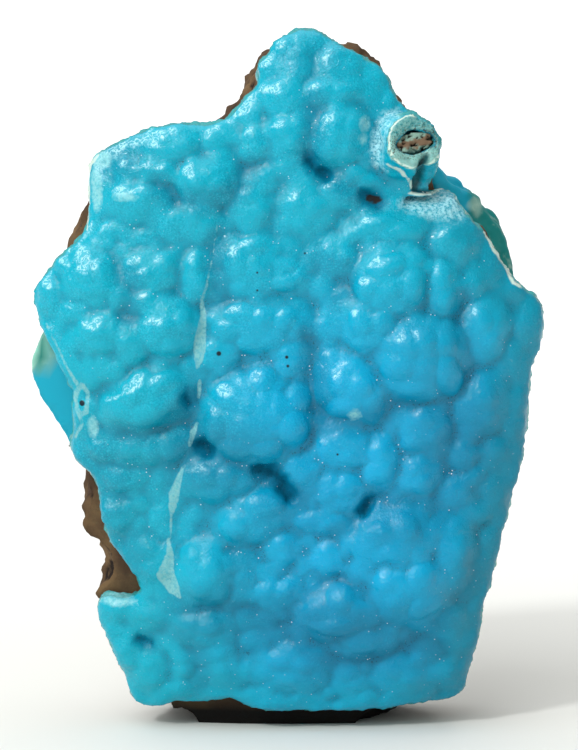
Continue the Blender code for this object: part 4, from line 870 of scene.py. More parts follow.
# Sugary grain, strongest to the upper left where the light falls: real grain, with its pale specks
# partly painted glint.
sugar_and_glint = (1.0 - fade(across - 0.8 * up, -42.0, -6.0)) * 0.75 + 0.25
hollow = hollowness(where, facing, ends, *HOLLOW)
# Painted highlight on crests that face the key light, fainter to the lower right and low down.
toward_key = facing @ np.array(KEY_LIGHT_WAY) / np.linalg.norm(KEY_LIGHT_WAY)
highlight_crest = fade(-hollow, -0.1, 0.5) * fade(toward_key, 0.90, 0.985)
highlight_crest = highlight_crest * (1.0 - fade(across - 0.6 * up, -22.0, 6.0) * 0.45)
highlight_crest *= 0.25 + 0.75 * fade(up, 16.0, 34.0)
pit_x, pit_z, pit_width, pit_height = BROWN_PIT
to_pit = np.hypot((across - pit_x) / pit_width, (up - pit_z) / pit_height)
for name, values in (
    ("fine_hollow", hollowness(where, facing, ends, *FINE_HOLLOW)),
    ("hollow", hollow),
    ("highlight_crest", highlight_crest),
    ("broad_hollow", hollowness(where, facing, ends, *BROAD_HOLLOW)),
    ("wall", wall),
    ("to_crevice", to_crevice),
    *to_band.items(),
    ("on_end", on_end),
    ("end_reach", reach * on_end),
    ("to_core", to_core + FAR * (1.0 - in_stub)),
    ("under_core", on_end * fade(-along_stub[:, 1] - 0.3 * along_stub[:, 0], -0.3, 0.6)),
    ("to_patch", to_patch),
    ("deeper", deeper),
    ("sugar_and_glint", sugar_and_glint),
    ("dip_and_valley_shade", dip_and_valley_shade),
    ("brown_pit", 1.0 - fade(to_pit, 0.6, 1.2)),
    ("right_side_shade", right_side_shade.clip(0, 1)),
):
    store(mesh, name, values)


def linear(hex_colour):
    """An sRGB hex colour as the linear RGBA that Blender's shaders take."""
    parts = [int(hex_colour[i : i + 2], 16) / 255 for i in (0, 2, 4)]
    return [c / 12.92 if c <= 0.04045 else ((c + 0.055) / 1.055) ** 2.4 for c in parts] + [1.0]


def put(tree, kind, inputs=None, out=0, **settings):
    """Adds a node with its settings, and gives one of its outputs.

    An input is a value, or a socket to link from.
    """
    node = tree.nodes.new(kind)
    for name, value in settings.items():
        setattr(node, name, value)
    for key, value in (inputs or {}).items():
        socket = node.inputs[key]
        if isinstance(value, bpy.types.NodeSocket):
            tree.links.new(value, socket)
        else:
            socket.default_value = value
    return node.outputs[out]


# Hemimorphite is a zinc silicate, here tinted by copper: waxy and translucent, IOR about 1.62.
# The fibre tips leave a sugary grain, so highlights break up into small bright patches.
SKY_GREEN = linear("06A6BC")
SKY_BLUE = linear("06A1CC")
# Dark blue for painted shade in valleys, dips and gaps, and for the dark grain.
SHADE_AND_GRAIN_BLUE = linear("065A7A")
RIGHT_SHADE_TEAL = linear("04748C")
GAP_SHADE_BLACK = linear("03202C")
SEAM_GREY = linear("7BBCC0")
WORN_CREAM = linear("8CCFD4")
BROKEN_TEAL = linear("2F9C9C")
CREAM = linear("CFE3D6")
PAINTED_GLINT_WHITE = linear("E8FBFF")
PALE_SUGAR_GLINT = linear("2FC9E0")
PIT_BROWN = linear("2E2116")
SPECK = linear("0A3A4A")
END_TEAL = linear("1B7F86")
END_PALE = linear("93C4BA")
PORE_BROWN = linear("35271B")
GROOVE_TEAL = linear("0D4A50")
# Pale frost for the crushed crust by the stub, and for the painted highlights.
FROST_AND_HIGHLIGHT = linear("B4EAF1")
hemimorphite = bpy.data.materials.new("hemimorphite_copper_blue")
hemimorphite.use_nodes = True
tree = hemimorphite.node_tree
shader = tree.nodes["Principled BSDF"]
place = put(tree, "ShaderNodeTexCoord", out="Object")

# The patterns in it: the size of each one's spots in millimetres, detail, roughness, distortion.
ragged, speckle, patchy, mottle, wrinkle, grain = [
    put(
        tree,
        "ShaderNodeTexNoise",
        {
            "Vector": place,
            "Scale": 1.0 / (size * MM),
            "Detail": detail,
            "Roughness": roughness,
            "Distortion": distortion,
        },
    )
    for size, detail, roughness, distortion in (
        (0.5, 3.0, 0.5, 0.0),
        (0.16, 2.0, 0.5, 0.0),
        (2.2, 2.0, 0.5, 0.0),
        (0.3, 3.0, 0.7, 0.0),
        (0.5, 2.0, 0.5, 0.8),
        (0.24, 3.0, 0.65, 0.0),
    )
]
ragged = put(tree, "ShaderNodeMath", {0: ragged, 1: 0.6, 2: -0.3}, operation="MULTIPLY_ADD")


def share(name, start, end, most, rough=0.0):
    """How much of a colour shows: an attribute between two values, its edge made ragged."""
    value = put(tree, "ShaderNodeAttribute", out="Fac", attribute_name=name)
    if rough:
        value = put(
            tree, "ShaderNodeMath", {0: ragged, 1: rough, 2: value}, operation="MULTIPLY_ADD"
        )
    ends = {"Value": value, "From Min": start, "From Max": end, "To Max": most}
    return put(tree, "ShaderNodeMapRange", ends)


# Painted glints: one fibre bundle in a few is painted as if it caught the light; 0.34 mm apart.
spacing = {"Vector": place, "Scale": 1.0 / (0.34 * MM)}
to_bundle = put(tree, "ShaderNodeTexVoronoi", spacing, out="Distance")
bundle = to_bundle.node.outputs["Color"]
rare = put(tree, "ShaderNodeMapRange", {"Value": bundle, "From Min": 0.72, "From Max": 0.80})
patchy = put(
    tree, "ShaderNodeMapRange", {"Value": patchy, "From Min": 0.36, "From Max": 0.62, "To Min": 0.3}
)
sugar_glint_mask = share("sugar_and_glint", 0.0, 1.0, 1.0)
sugar_glint_mask = put(tree, "ShaderNodeMath", {0: sugar_glint_mask, 1: patchy}, operation="MULTIPLY")
mottle = put(tree, "ShaderNodeMapRange", {"Value": mottle, "From Min": 0.36, "From Max": 0.58})
wrinkle = put(tree, "ShaderNodeMath", {0: wrinkle, 1: 0.5}, operation="SUBTRACT")
wrinkle = put(tree, "ShaderNodeMath", {0: wrinkle}, operation="ABSOLUTE")

# Small spots: the pattern, the values it runs between, what it then runs between, and where.
spots = []
for pattern, start, end, low, high, where_it_shows in (
    (to_bundle, 0.08, 0.20, 1.0, 0.0, share("hollow", -0.5, 0.7, 1.0)),
    (speckle, 0.56, 0.66, 0.0, 0.7, share("hollow", 0.15, 0.8, 1.0)),
    (speckle, 0.54, 0.66, 0.0, 0.35, sugar_glint_mask),
    (speckle, 0.46, 0.34, 0.0, 0.25, sugar_glint_mask),
    # painted highlight crackle on crests that face the light
    (wrinkle, 0.07, 0.0, 0.12, 1.0, share("highlight_crest", 0.25, 0.85, 0.85, 0.5)),
    (mottle, 0.0, 1.0, 0.45, 0.95, share("to_seam", 0.06, -0.06, 1.0, 0.45)),
    (mottle, 0.0, 1.0, 0.45, 0.95, share("to_patch", 0.2, -0.2, 0.9, 1.3)),
    (speckle, 0.46, 0.38, 0.0, 1.0, share("to_core", 1.1, 0.2, 0.8)),
):
    spot = {"Value": pattern, "From Min": start, "From Max": end, "To Min": low, "To Max": high}
    spot = put(tree, "ShaderNodeMapRange", spot)
    spots.append(put(tree, "ShaderNodeMath", {0: spot, 1: where_it_shows}, operation="MULTIPLY"))
glint_dots, specks, pale_grain, dark_grain, highlight_crackle, healed, worn, pores = spots
glint_dots = put(tree, "ShaderNodeMath", {0: glint_dots, 1: rare}, operation="MULTIPLY")
frost, end_crumbs = [
    put(tree, "ShaderNodeMath", {0: where_it_shows, 1: mottle}, operation="MULTIPLY")
    for where_it_shows in (
        share("to_frost", 0.3, -0.4, 0.75, 1.5),
        share("on_end", 0.3, 0.7, 0.55),
    )
]

# Pinholes, seen from the front: black discs painted as the shade of pits that the mesh doesn't
# have.
HOLE_EDGE = 0.05
flat = put(tree, "ShaderNodeVectorMath", {0: place, 1: (1, 0, 1)}, operation="MULTIPLY")
holes = 0.0
for x, z, radius in PINHOLES:
    middle = (x * MM, 0, z * MM)
    away = put(
        tree, "ShaderNodeVectorMath", {0: flat, 1: middle}, out="Value", operation="DISTANCE"
    )
    edge = {"From Min": (radius + HOLE_EDGE) * MM, "From Max": (radius - HOLE_EDGE) * MM}
    hole = put(tree, "ShaderNodeMapRange", {"Value": away, **edge})
    holes = put(tree, "ShaderNodeMath", {0: holes, 1: hole}, operation="MAXIMUM")

# The body colour, greener to the upper left, with the others laid over it in this order; some are
# painted shade, glints and highlights.
body = {"Factor": share("deeper", 0, 1, 1), 6: SKY_GREEN, 7: SKY_BLUE}
body = put(tree, "ShaderNodeMix", body, out=2, data_type="RGBA")
for amount, colour in (
    # Painted shade: valleys and hollows painted a darker blue at three scales, where shade falls
    # between lumps.
    (share("broad_hollow", -0.1, 1.0, 0.40), SHADE_AND_GRAIN_BLUE),
    (share("hollow", 0.1, 1.0, 0.10), SHADE_AND_GRAIN_BLUE),
    (share("fine_hollow", 0.2, 1.0, 0.12), SHADE_AND_GRAIN_BLUE),
    # Painted shade over the broad dips and along the main valleys.
    (share("dip_and_valley_shade", 0.0, 1.0, 1.0), SHADE_AND_GRAIN_BLUE),
    # Painted shade down the right side, away from the light.
    (share("right_side_shade", 0.0, 1.0, 0.75), RIGHT_SHADE_TEAL),
    # Pale sugary grain: real grain, and partly painted glint on the lit upper left.
    (pale_grain, PALE_SUGAR_GLINT),
    (dark_grain, SHADE_AND_GRAIN_BLUE),
    (specks, SPECK),
    # Painted glints: white dots, most of them in the valleys.
    (glint_dots, PAINTED_GLINT_WHITE),
    # Painted highlight: pale crackle on crests that face the key light.
    (highlight_crackle, FROST_AND_HIGHLIGHT),
    (share("wall", 0.45, 0.75, 0.9, 0.4), BROKEN_TEAL),
    (worn, WORN_CREAM),
    (healed, SEAM_GREY),
    (frost, FROST_AND_HIGHLIGHT),
    (share("on_end", 0.3, 0.7, 1.0), END_TEAL),
    (end_crumbs, END_PALE),
    (share("under_core", 0.2, 0.8, 0.6, 1.8), END_PALE),
    (pores, PORE_BROWN),
    (share("to_core", 0.25, 0.0, 0.6, 0.8), PORE_BROWN),
    (share("to_groove", 0.12, -0.15, 0.9, 0.3), GROOVE_TEAL),
    (share("end_reach", 2.22, 2.34, 0.9, 0.5), CREAM),
    (share("to_cream", 0.05, -0.05, 0.9, 0.25), CREAM),
    # Painted shade in and around the deep gaps between lumps.
    (share("to_crevice", 1.1, 0.0, 0.6, 1.0), SHADE_AND_GRAIN_BLUE),
    (share("to_crevice", 0.15, -0.5, 0.8, 1.2), GAP_SHADE_BLACK),
    (share("brown_pit", 0.3, 0.8, 0.9, 1.6), PIT_BROWN),
    # Painted shade: the pinholes.
    (holes, GAP_SHADE_BLACK),
):
    layer = {"Factor": amount, 6: body, 7: colour}
    body = put(tree, "ShaderNodeMix", layer, out=2, data_type="RGBA")
tree.links.new(body, shader.inputs["Base Color"])

# Waxy where it is whole, but dull in the crevices.
SPECULAR = 0.20
gloss = {"Value": speckle, "From Min": 0.4, "From Max": 0.6, "To Min": 0.07, "To Max": 0.26}
gloss = put(tree, "ShaderNodeMapRange", gloss)
tree.links.new(gloss, shader.inputs["Roughness"])
away = put(tree, "ShaderNodeAttribute", out="Fac", attribute_name="to_crevice")
glint = {"Value": away, "From Min": 0.0, "From Max": 1.0, "To Min": 0.02, "To Max": SPECULAR}
glint = put(tree, "ShaderNodeMapRange", glint)
tree.links.new(glint, shader.inputs["Specular IOR Level"])
shader.inputs["IOR"].default_value = 1.62
shader.inputs["Subsurface Weight"].default_value = 0.35
shader.inputs["Subsurface Radius"].default_value = (0.25, 0.9, 1.2)
shader.inputs["Subsurface Scale"].default_value = 0.0003
grain = put(tree, "ShaderNodeMath", {0: wrinkle, 1: 3.0, 2: grain}, operation="MULTIPLY_ADD")
bump = put(tree, "ShaderNodeBump", {"Height": grain, "Strength": 0.55, "Distance": 0.08 * MM})
tree.links.new(bump, shader.inputs["Normal"])

crust.data.materials.clear()
crust.data.materials.append(hemimorphite)
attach(crust, "root")
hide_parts("hemimorphite_crust")


# ---- Matrix: one broken piece of brown iron-oxide rock, sawn flat underneath to stand. ----
# Goethite and limonite: dull, porous and earthy, ochre in patches and darker in its hollows, with
# painted shade at its foot.
# The crust grew on its front, and its core also fills the broken stub.

# The rock's own outline, also seen from the front. It runs below the sawn face.
MATRIX_OUTLINE = (
    (0.1, 61.6), (2.8, 62.0), (5.0, 62.0), (6.2, 61.8), (7.1, 61.0), (7.8, 59.9), (8.6, 57.8),
    (9.3, 55.6), (10.4, 53.6), (11.5, 51.6), (12.1, 49.5), (13.6, 47.5), (15.4, 45.7),
    (17.2, 43.8), (18.3, 41.8), (19.3, 39.7), (20.7, 37.9), (21.3, 36.1), (21.0, 34.2),
    (20.0, 32.4), (19.9, 26.5), (19.0, 22.3), (18.3, 18.6), (17.6, 15.8), (17.1, 13.1),
    (16.3, 10.7), (15.8, 7.0), (15.2, 4.2), (14.6, 2.6), (12.8, 1.5), (10.0, 0.8), (7.4, 0.2),
    (5.8, -1.4), (-5.4, -1.4), (-7.4, 0.2), (-10.2, 0.9), (-12.6, 1.7), (-13.8, 3.3),
    (-14.7, 6.1), (-16.0, 8.4), (-16.9, 10.7), (-17.2, 13.3), (-16.9, 15.6), (-17.4, 16.6),
    (-18.3, 18.2), (-18.7, 20.9), (-18.7, 22.8), (-19.5, 23.7), (-20.3, 24.4), (-20.8, 25.9),
    (-21.0, 27.8), (-21.1, 35.6), (-20.7, 39.3), (-20.0, 41.8), (-19.5, 43.2), (-19.5, 44.1),
    (-18.7, 44.3), (-17.9, 46.1), (-17.8, 47.9), (-17.4, 50.0), (-16.1, 51.3), (-12.5, 52.9),
    (-8.0, 54.3), (-6.7, 54.8), (-5.3, 55.9), (-4.0, 57.6), (-2.8, 58.7), (-2.1, 59.9),
    (-1.3, 60.8),
)

# Fracture faces on the rock's back and sides: a point on the face, and the way it faces.
FRACTURES = (
    ((0.0, 9.3, 27.2), (0.10, 1.0, -0.06)),
    ((-4.0, 8.1, 51.2), (-0.25, 1.0, 0.42)),
    ((8.0, 7.7, 50.2), (0.42, 1.0, 0.38)),
    ((15.5, 7.1, 31.2), (1.0, 0.80, 0.10)),
    ((12.5, 8.5, 13.2), (0.75, 1.0, -0.25)),
    ((-16.0, 6.7, 33.2), (-1.0, 0.72, 0.05)),
    ((-12.0, 8.3, 15.2), (-0.62, 1.0, -0.30)),
    ((2.0, 3.9, 60.0), (0.10, 0.75, 1.0)),
    ((-13.5, 4.4, 49.7), (-0.8, 0.55, 0.9)),
)

# The second layer of crust on the rock's upper right flank, and the one behind the left edge.
# Each has the line where it meets the rock, its own outline, and its front and back.
RIGHT_SEAT = (
    (11.6, 50.8), (12.4, 49.0), (14.1, 47.1), (15.6, 45.7), (17.3, 43.7), (18.4, 41.7),
    (19.3, 39.1),
)
RIGHT_DEPTH = (-0.9, 6.7)
LEFT_SEAT = ((-20.7, 36.9), (-19.8, 34.5), (-18.9, 32.5), (-18.3, 29.5), (-18.4, 25.2))
LEFT_DEPTH = (-6.0, 2.6)

# The block that the rock is broken from, and its surface: broad waves, ridges, pits, crumbs, pores.
MATRIX_FRONT = -11.1
MATRIX_BACK = 12.5
ROCK_CELL = 0.36
BROAD_SIZE = 7.5
BROAD_HEIGHT = 1.5
RIDGE_SIZE = 3.2
RIDGE_HEIGHT = 0.5
PIT_SPACING = 7.0
PIT_SHARE = 0.42
PIT_DEPTH = 1.6
CRUMB_SIZE = 1.1
CRUMB_HEIGHT = 0.22
PORE_SPACING = 2.1
PORE_SHARE = 0.34
PORE_DEPTH = 0.7
ROCK_HOLLOW = (8, 0.10)
# The gap between the rock and what sits against it.
FIT = 0.06


def pocket(seat, depth, clearance, outward):
    """The block of space that a second crust layer may fill: all that lies outside its seat."""
    line = [(x - outward * clearance, z) for x, z in seat]
    line[0] = (line[0][0], line[0][1] + clearance)
    line[-1] = (line[-1][0], line[-1][1] - clearance)
    far = outward * 34.0
    corners = line + [(far, line[-1][1]), (far, line[0][1])]
    return prism(corners, depth[0] - clearance, depth[1] + clearance)


bm = prism(MATRIX_OUTLINE, MATRIX_FRONT, MATRIX_BACK)
for point, way in FRACTURES:
    sliced = bmesh.ops.bisect_plane(
        bm,
        geom=bm.verts[:] + bm.edges[:] + bm.faces[:],
        dist=1e-7,
        plane_co=Vector(point) * MM,
        plane_no=Vector(way).normalized(),
        clear_outer=True,
    )
    edges = [item for item in sliced["geom_cut"] if isinstance(item, bmesh.types.BMEdge)]
    bmesh.ops.holes_fill(bm, edges=edges, sides=0)
bmesh.ops.triangulate(bm, faces=bm.faces)
bmesh.ops.recalc_face_normals(bm, faces=bm.faces)
matrix = link_up(bm, "rock_matrix")
one_skin(matrix, 0.8, 0.5, 3)
one_skin(matrix, ROCK_CELL, 0.5, 2)

where, facing = points_of(matrix.data)
broad = noise_at(where, BROAD_SIZE, (3.1, 0.0, 8.2))
ridges = 1.0 - 2.0 * abs(noise_at(where, RIDGE_SIZE, (0.0, 5.7, 1.3)))
to_pit = np.array([noise.voronoi(Vector(p / PIT_SPACING))[0][0] for p in where])
to_pore = np.array([noise.voronoi(Vector(p / PORE_SPACING))[0][0] for p in where])
patchy = fade(noise_at(where, 6.0, (4.0, 4.0, 4.0)), -0.25, 0.35)
moves = BROAD_HEIGHT * broad + RIDGE_HEIGHT * (ridges - 0.6)
moves -= PIT_DEPTH * (1.0 - to_pit / PIT_SHARE).clip(0.0) ** 0.7
moves -= PORE_DEPTH * patchy * (1.0 - to_pore / PORE_SHARE).clip(0.0) ** 0.6
moves += CRUMB_HEIGHT * noise_at(where, CRUMB_SIZE, (7.0, 1.0, 5.0), 3)
move_points(matrix.data, where + facing * moves[:, None])

carve(matrix, "INTERSECT", bed(FIT))
carve(matrix, "DIFFERENCE", pocket(RIGHT_SEAT, RIGHT_DEPTH, FIT, 1))
carve(matrix, "DIFFERENCE", pocket(LEFT_SEAT, LEFT_DEPTH, FIT, -1))
below = bmesh.new()
place = Matrix.Translation((0, 0, -0.010)) @ Matrix.Diagonal((0.08, 0.08, 0.020, 1))
bmesh.ops.create_cube(below, size=1.0, matrix=place)
carve(matrix, "DIFFERENCE", below)

# The stub's core is crumbly, so it is pitted before it is joined to the rock.
CORE_CELL = 0.16
CORE_PITS = 0.5
core = link_up(core_rod(0.0), "core")
one_skin(core, CORE_CELL, 0.5, 1)
where, facing = points_of(core.data)
pitted = fade(noise_at(where, 0.6, (2.0, 2.0, 2.0), 2), -0.1, 0.5)
move_points(core.data, where - facing * (CORE_PITS * pitted)[:, None])
bm = bmesh.new()
bm.from_mesh(core.data)
bpy.data.objects.remove(core, do_unlink=True)
carve(matrix, "UNION", bm)

where, facing = points_of(matrix.data)
ends = neighbours(matrix.data)
store(matrix.data, "fine_hollow", hollowness(where, facing, ends, *ROCK_HOLLOW))
core_turn = (stub_turn @ Matrix.Rotation(math.radians(CORE_TILT), 4, "Z")).to_3x3()
from_root = where - np.array(STUB_ROOT)
along_core = from_root @ np.array(STUB_AXIS)
from_axis = np.linalg.norm(from_root - along_core[:, None] * np.array(STUB_AXIS), axis=1)
in_core = fade(along_core, 0.5, 1.2) * (1.0 - fade(from_axis, 2.2, 2.4))
from_line = abs(from_root @ np.array(core_turn @ Vector((0, 1, 0))))
crumbs = fade(from_line + 0.5 * noise_at(where, 0.5, (8.0, 3.0, 1.0), 2), 0.2, 0.5)
store(matrix.data, "in_core", in_core)
store(matrix.data, "core_crumbs", in_core * crumbs)

# Goethite with limonite: matt, IOR about 2.3 for the mineral but dusty, so it reflects little.
DARK_BROWN = linear("1F150E")
MID_BROWN = linear("4A3829")
OCHRE = linear("6E573B")
# Near black for the painted shade at the foot, under the overhanging crust.
FOOT_SHADE_BLACK = linear("0E0B09")
FOOT_SHADE_FADE = (2.6, 1.2)
CORE_RUST = linear("75604B")
CORE_CRUMB = linear("86A99A")
limonite = bpy.data.materials.new("goethite_limonite_matrix")
limonite.use_nodes = True
tree = limonite.node_tree
shader = tree.nodes["Principled BSDF"]
place = put(tree, "ShaderNodeTexCoord", out="Object")
patches, grain = [
    put(
        tree,
        "ShaderNodeTexNoise",
        {"Vector": place, "Scale": 1.0 / (size * MM), "Detail": 5.0, "Roughness": roughness},
    )
    for size, roughness in ((4.0, 0.5), (0.3, 0.7))
]
patches = put(tree, "ShaderNodeMapRange", {"Value": patches, "From Min": 0.42, "From Max": 0.62})
in_core, core_crumbs, fine = [
    put(tree, "ShaderNodeAttribute", out="Fac", attribute_name=name)
    for name in ("in_core", "core_crumbs", "fine_hollow")
]
low = put(tree, "ShaderNodeMapRange", {"Value": fine, "From Min": -0.1, "From Max": 0.8})
height = put(tree, "ShaderNodeSeparateXYZ", {0: place}, out="Z")
# Painted shade: the rock is painted near black low down, where the overhanging crust shades its
# foot.
foot_shade = {"Value": height, "From Min": FOOT_SHADE_FADE[0] * MM, "From Max": FOOT_SHADE_FADE[1] * MM}
foot_shade = put(tree, "ShaderNodeMapRange", foot_shade)
body = MID_BROWN
for amount, colour in (
    (patches, OCHRE),
    (in_core, CORE_RUST),
    (core_crumbs, CORE_CRUMB),
    (low, DARK_BROWN),
    # Painted shade at the foot.
    (foot_shade, FOOT_SHADE_BLACK),
):
    layer = {"Factor": amount, 6: body, 7: colour}
    body = put(tree, "ShaderNodeMix", layer, out=2, data_type="RGBA")
tree.links.new(body, shader.inputs["Base Color"])
shader.inputs["Roughness"].default_value = 0.9
shader.inputs["Specular IOR Level"].default_value = 0.25
bump = put(tree, "ShaderNodeBump", {"Height": grain, "Strength": 0.8, "Distance": 0.15 * MM})
tree.links.new(bump, shader.inputs["Normal"])

matrix.data.materials.clear()
matrix.data.materials.append(limonite)
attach(matrix, "root")
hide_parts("matrix")


# ---- Two rear layers of crust: thin patches that grew on the rock's flanks. ----
# They are the same mineral, duller and greener, seen edge on behind the front crust.
# Each is rooted in its own seat on the rock.

RIGHT_RIM = (
    (20.3, 39.8), (20.2, 41.4), (19.8, 42.8), (19.1, 44.6), (17.7, 46.4), (16.4, 47.8),
    (14.4, 49.1), (13.6, 50.0), (12.9, 51.2),
)
RIGHT_BUMPS = (
    (12.9, 0.9, 50.6, 0.9), (13.9, 0.5, 49.2, 1.0), (15.2, 2.5, 48.2, 1.3),
    (16.9, 0.9, 46.7, 1.2), (18.4, 3.1, 45.1, 1.4), (19.2, 0.5, 43.4, 1.1),
    (19.7, 2.9, 41.8, 1.2), (17.4, 4.9, 45.8, 1.2), (14.6, 4.9, 48.2, 1.0),
    (19.4, 5.1, 42.4, 1.0), (19.8, 0.3, 40.5, 0.9),
)
LEFT_RIM = (
    (-19.4, 25.7), (-20.0, 26.5), (-20.5, 27.3), (-21.0, 28.2), (-21.5, 28.9), (-22.1, 29.7),
    (-22.6, 30.6), (-23.0, 31.5), (-23.1, 32.3), (-22.9, 33.2), (-22.4, 34.8), (-21.9, 36.2),
)
LEFT_BUMPS = (
    (-22.3, -0.8, 33.0, 1.0), (-22.0, 0.2, 31.2, 1.2), (-20.9, -0.9, 29.4, 1.2),
    (-20.0, 0.1, 27.5, 1.0),
)
PATCH_CELL = 0.18

# The same mineral with more clay: blue where it still has copper, green-grey at its rims.
LAYER_BLUE = linear("089DB6")
LAYER_TEAL = linear("0F7C78")
LAYER_GREEN = linear("8CC4B2")
LAYER_HOLLOW = linear("15766C")
LAYER_BEIGE = linear("A6C4B4")
teal = bpy.data.materials.new("hemimorphite_teal_green")
teal.use_nodes = True
tree = teal.node_tree
shader = tree.nodes["Principled BSDF"]
place = put(tree, "ShaderNodeTexCoord", out="Object")
blotch = {"Vector": place, "Scale": 1.0 / (1.3 * MM), "Detail": 4.0}
blotch = put(tree, "ShaderNodeTexNoise", blotch)
blotch = {"Value": blotch, "From Min": 0.56, "From Max": 0.70, "To Max": 0.6}
blotch = put(tree, "ShaderNodeMapRange", blotch)
body = {"Factor": blotch, 6: LAYER_TEAL, 7: LAYER_BEIGE}
body = put(tree, "ShaderNodeMix", body, out=2, data_type="RGBA")
for name, colour in (
    ("blue", LAYER_BLUE),
    ("green", LAYER_GREEN),
    ("beige", LAYER_BEIGE),
    ("hollow", LAYER_HOLLOW),
):
    amount = put(tree, "ShaderNodeAttribute", out="Fac", attribute_name=name)
    layer = {"Factor": amount, 6: body, 7: colour}
    body = put(tree, "ShaderNodeMix", layer, out=2, data_type="RGBA")
tree.links.new(body, shader.inputs["Base Color"])
shader.inputs["Roughness"].default_value = 0.45
shader.inputs["IOR"].default_value = 1.62
shader.inputs["Specular IOR Level"].default_value = 0.15
shader.inputs["Subsurface Weight"].default_value = 0.4
shader.inputs["Subsurface Radius"].default_value = (0.25, 0.9, 1.0)
shader.inputs["Subsurface Scale"].default_value = 0.0006

# Each layer's block starts this far inside its pocket, its bumps stand this share of their
# radius inside the rim, and its rim is this share thinner than its root.
BLOCK_INSET = 0.4
BUMP_SUNK = 0.62
RIM_THINNING = 0.42
for name, node, seat, rim, depth, bumps, side in (
    ("crust_layer_right", "crust_behind_right", RIGHT_SEAT, RIGHT_RIM, RIGHT_DEPTH, RIGHT_BUMPS, 1),
    ("crust_layer_left", "crust_behind_left", LEFT_SEAT, LEFT_RIM, LEFT_DEPTH, LEFT_BUMPS, -1),
):
    bm = prism(seat + rim, depth[0] + BLOCK_INSET, depth[1] - BLOCK_INSET)
    for x, y, z, radius in bumps:
        middle = Vector((x - side * radius * BUMP_SUNK, y, z))
        reach = Vector((radius, radius * 1.3, radius))
        place = Matrix.Translation(middle * MM) @ Matrix.Diagonal((*(reach * MM), 1.0))
        bmesh.ops.create_icosphere(bm, subdivisions=4, radius=1.0, matrix=place)
    patch = link_up(bm, name)
    one_skin(patch, PATCH_CELL, 0.5, 4)
    where, _ = points_of(patch.data)
    across, deep, up = where.T
    outward = fade(distance_to_line(across, up, seat), 0.2, 2.4)
    middle = (depth[0] + depth[1]) / 2 + 0.5 * noise_at(where, 4.0, (6.0, 1.0, 2.0))
    where[:, 1] = middle + (deep - middle) * (1.0 - RIM_THINNING * outward)
    move_points(patch.data, where)
    where, facing = points_of(patch.data)
    moves = 0.10 * noise_at(where, 1.3, (5.0, 2.0, 8.0), 3)
    moves += 0.25 * noise_at(where, 3.1, (1.0, 7.0, 3.0))
    move_points(patch.data, where + facing * moves[:, None])
    carve(patch, "INTERSECT", pocket(seat, depth, 0.0, side))
    carve(patch, "INTERSECT", bed(FIT))
    where, _ = points_of(patch.data)
    ragged = 0.25 * noise_at(where, 1.1, (1.0, 3.0, 2.0), 2)
    across, up = where[:, 0], where[:, 2]
    if side > 0:
        blue = 1.0 - fade(across + ragged, 15.9, 16.6)
        green = hollow = np.zeros(len(across))
        to_spot = np.hypot(across - 16.8, up - 46.9) + 1.5 * ragged
        beige = (1.0 - fade(to_spot, 0.3, 0.9)) * 0.55
    else:
        above = up - 0.7 * (across + 22.0) - 33.1 + ragged
        aslant = across + 21.7 - 0.3 * (up - 34.7)
        to_hollow = np.hypot(aslant / 0.9, (up - 34.7) / 1.9) + 0.4 * ragged
        hollow = 1.0 - fade(to_hollow, 0.7, 1.05)
        blue = 1.0 - fade(above, -0.3, 0.2)
        green = fade(above, -0.1, 0.2)
        beige = (1.0 - fade(abs(above + 0.1), 0.15, 0.35)) * 0.3
    for attribute, values in (
        ("blue", blue),
        ("green", green),
        ("beige", beige),
        ("hollow", hollow),
    ):
        store(patch.data, attribute, values)
    patch.data.materials.clear()
    patch.data.materials.append(teal)
    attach(patch, "root")
    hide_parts(node)


# ---- Studio: a plain pale floor that runs back out of sight, and soft light from upper left. ----
# Matt card, lit by a pale room, a large soft panel in front, and a softer one overhead.
# Its colour is painted darker near the specimen and paler further off: painted shade for the
# light's falloff round it.

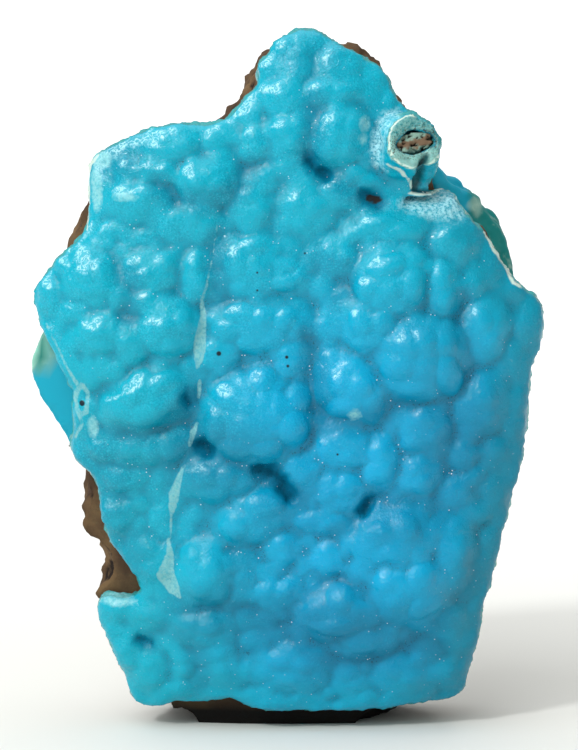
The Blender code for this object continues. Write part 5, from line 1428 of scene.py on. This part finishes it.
# The floor's half width in metres, how far off its painted shade fades to full white, and the
# room's strength.
FLOOR_REACH = 3.0
SHADE_FADE_REACH = (30, 300)
ROOM_STRENGTH = 0.36
bm = bmesh.new()
bmesh.ops.create_grid(bm, x_segments=1, y_segments=1, size=FLOOR_REACH)
floor = link_up(bm, "studio_floor")
card = bpy.data.materials.new("matt_white_card")
card.use_nodes = True
tree = card.node_tree
shader = tree.nodes["Principled BSDF"]
place = put(tree, "ShaderNodeTexCoord", out="Object")
away = put(tree, "ShaderNodeVectorMath", {0: place}, out="Value", operation="LENGTH")
away = {"Value": away, "From Min": SHADE_FADE_REACH[0] * MM, "From Max": SHADE_FADE_REACH[1] * MM}
away = put(tree, "ShaderNodeMapRange", away)
# Painted shade: greyer near the specimen, white further off.
body = {"Factor": away, 6: linear("E2E3DE"), 7: linear("FDFDFD")}
body = put(tree, "ShaderNodeMix", body, out=2, data_type="RGBA")
tree.links.new(body, shader.inputs["Base Color"])
shader.inputs["Roughness"].default_value = 0.9
shader.inputs["Specular IOR Level"].default_value = 0.1
floor.data.materials.append(card)

room = bpy.data.worlds.new("pale_room")
room.use_nodes = True
room.node_tree.nodes["Background"].inputs["Color"].default_value = linear("FDFDFD")
room.node_tree.nodes["Background"].inputs["Strength"].default_value = ROOM_STRENGTH
bpy.context.scene.world = room

# Each light: where it comes from, its strength, and how wide it looks in degrees. The small lamp
# in the key light gives the waxy lumps their glints.
for name, light_from, energy, spread_angle in (
    ("key_light", (-0.50, -0.66, 0.72), 1.5, 60),
    ("lamp_in_key", (-0.50, -0.62, 0.66), 1.15, 7),
    ("overhead_light", (-0.15, 0.25, 1.0), 1.5, 65),
):
    soft = bpy.data.lights.new(name, "SUN")
    soft.energy = energy
    soft.angle = math.radians(spread_angle)
    lamp = bpy.data.objects.new(name, soft)
    bpy.context.scene.collection.objects.link(lamp)
    lamp.rotation_euler = Vector(light_from).to_track_quat("Z", "Y").to_euler()

bpy.context.scene.view_settings.view_transform = "Standard"
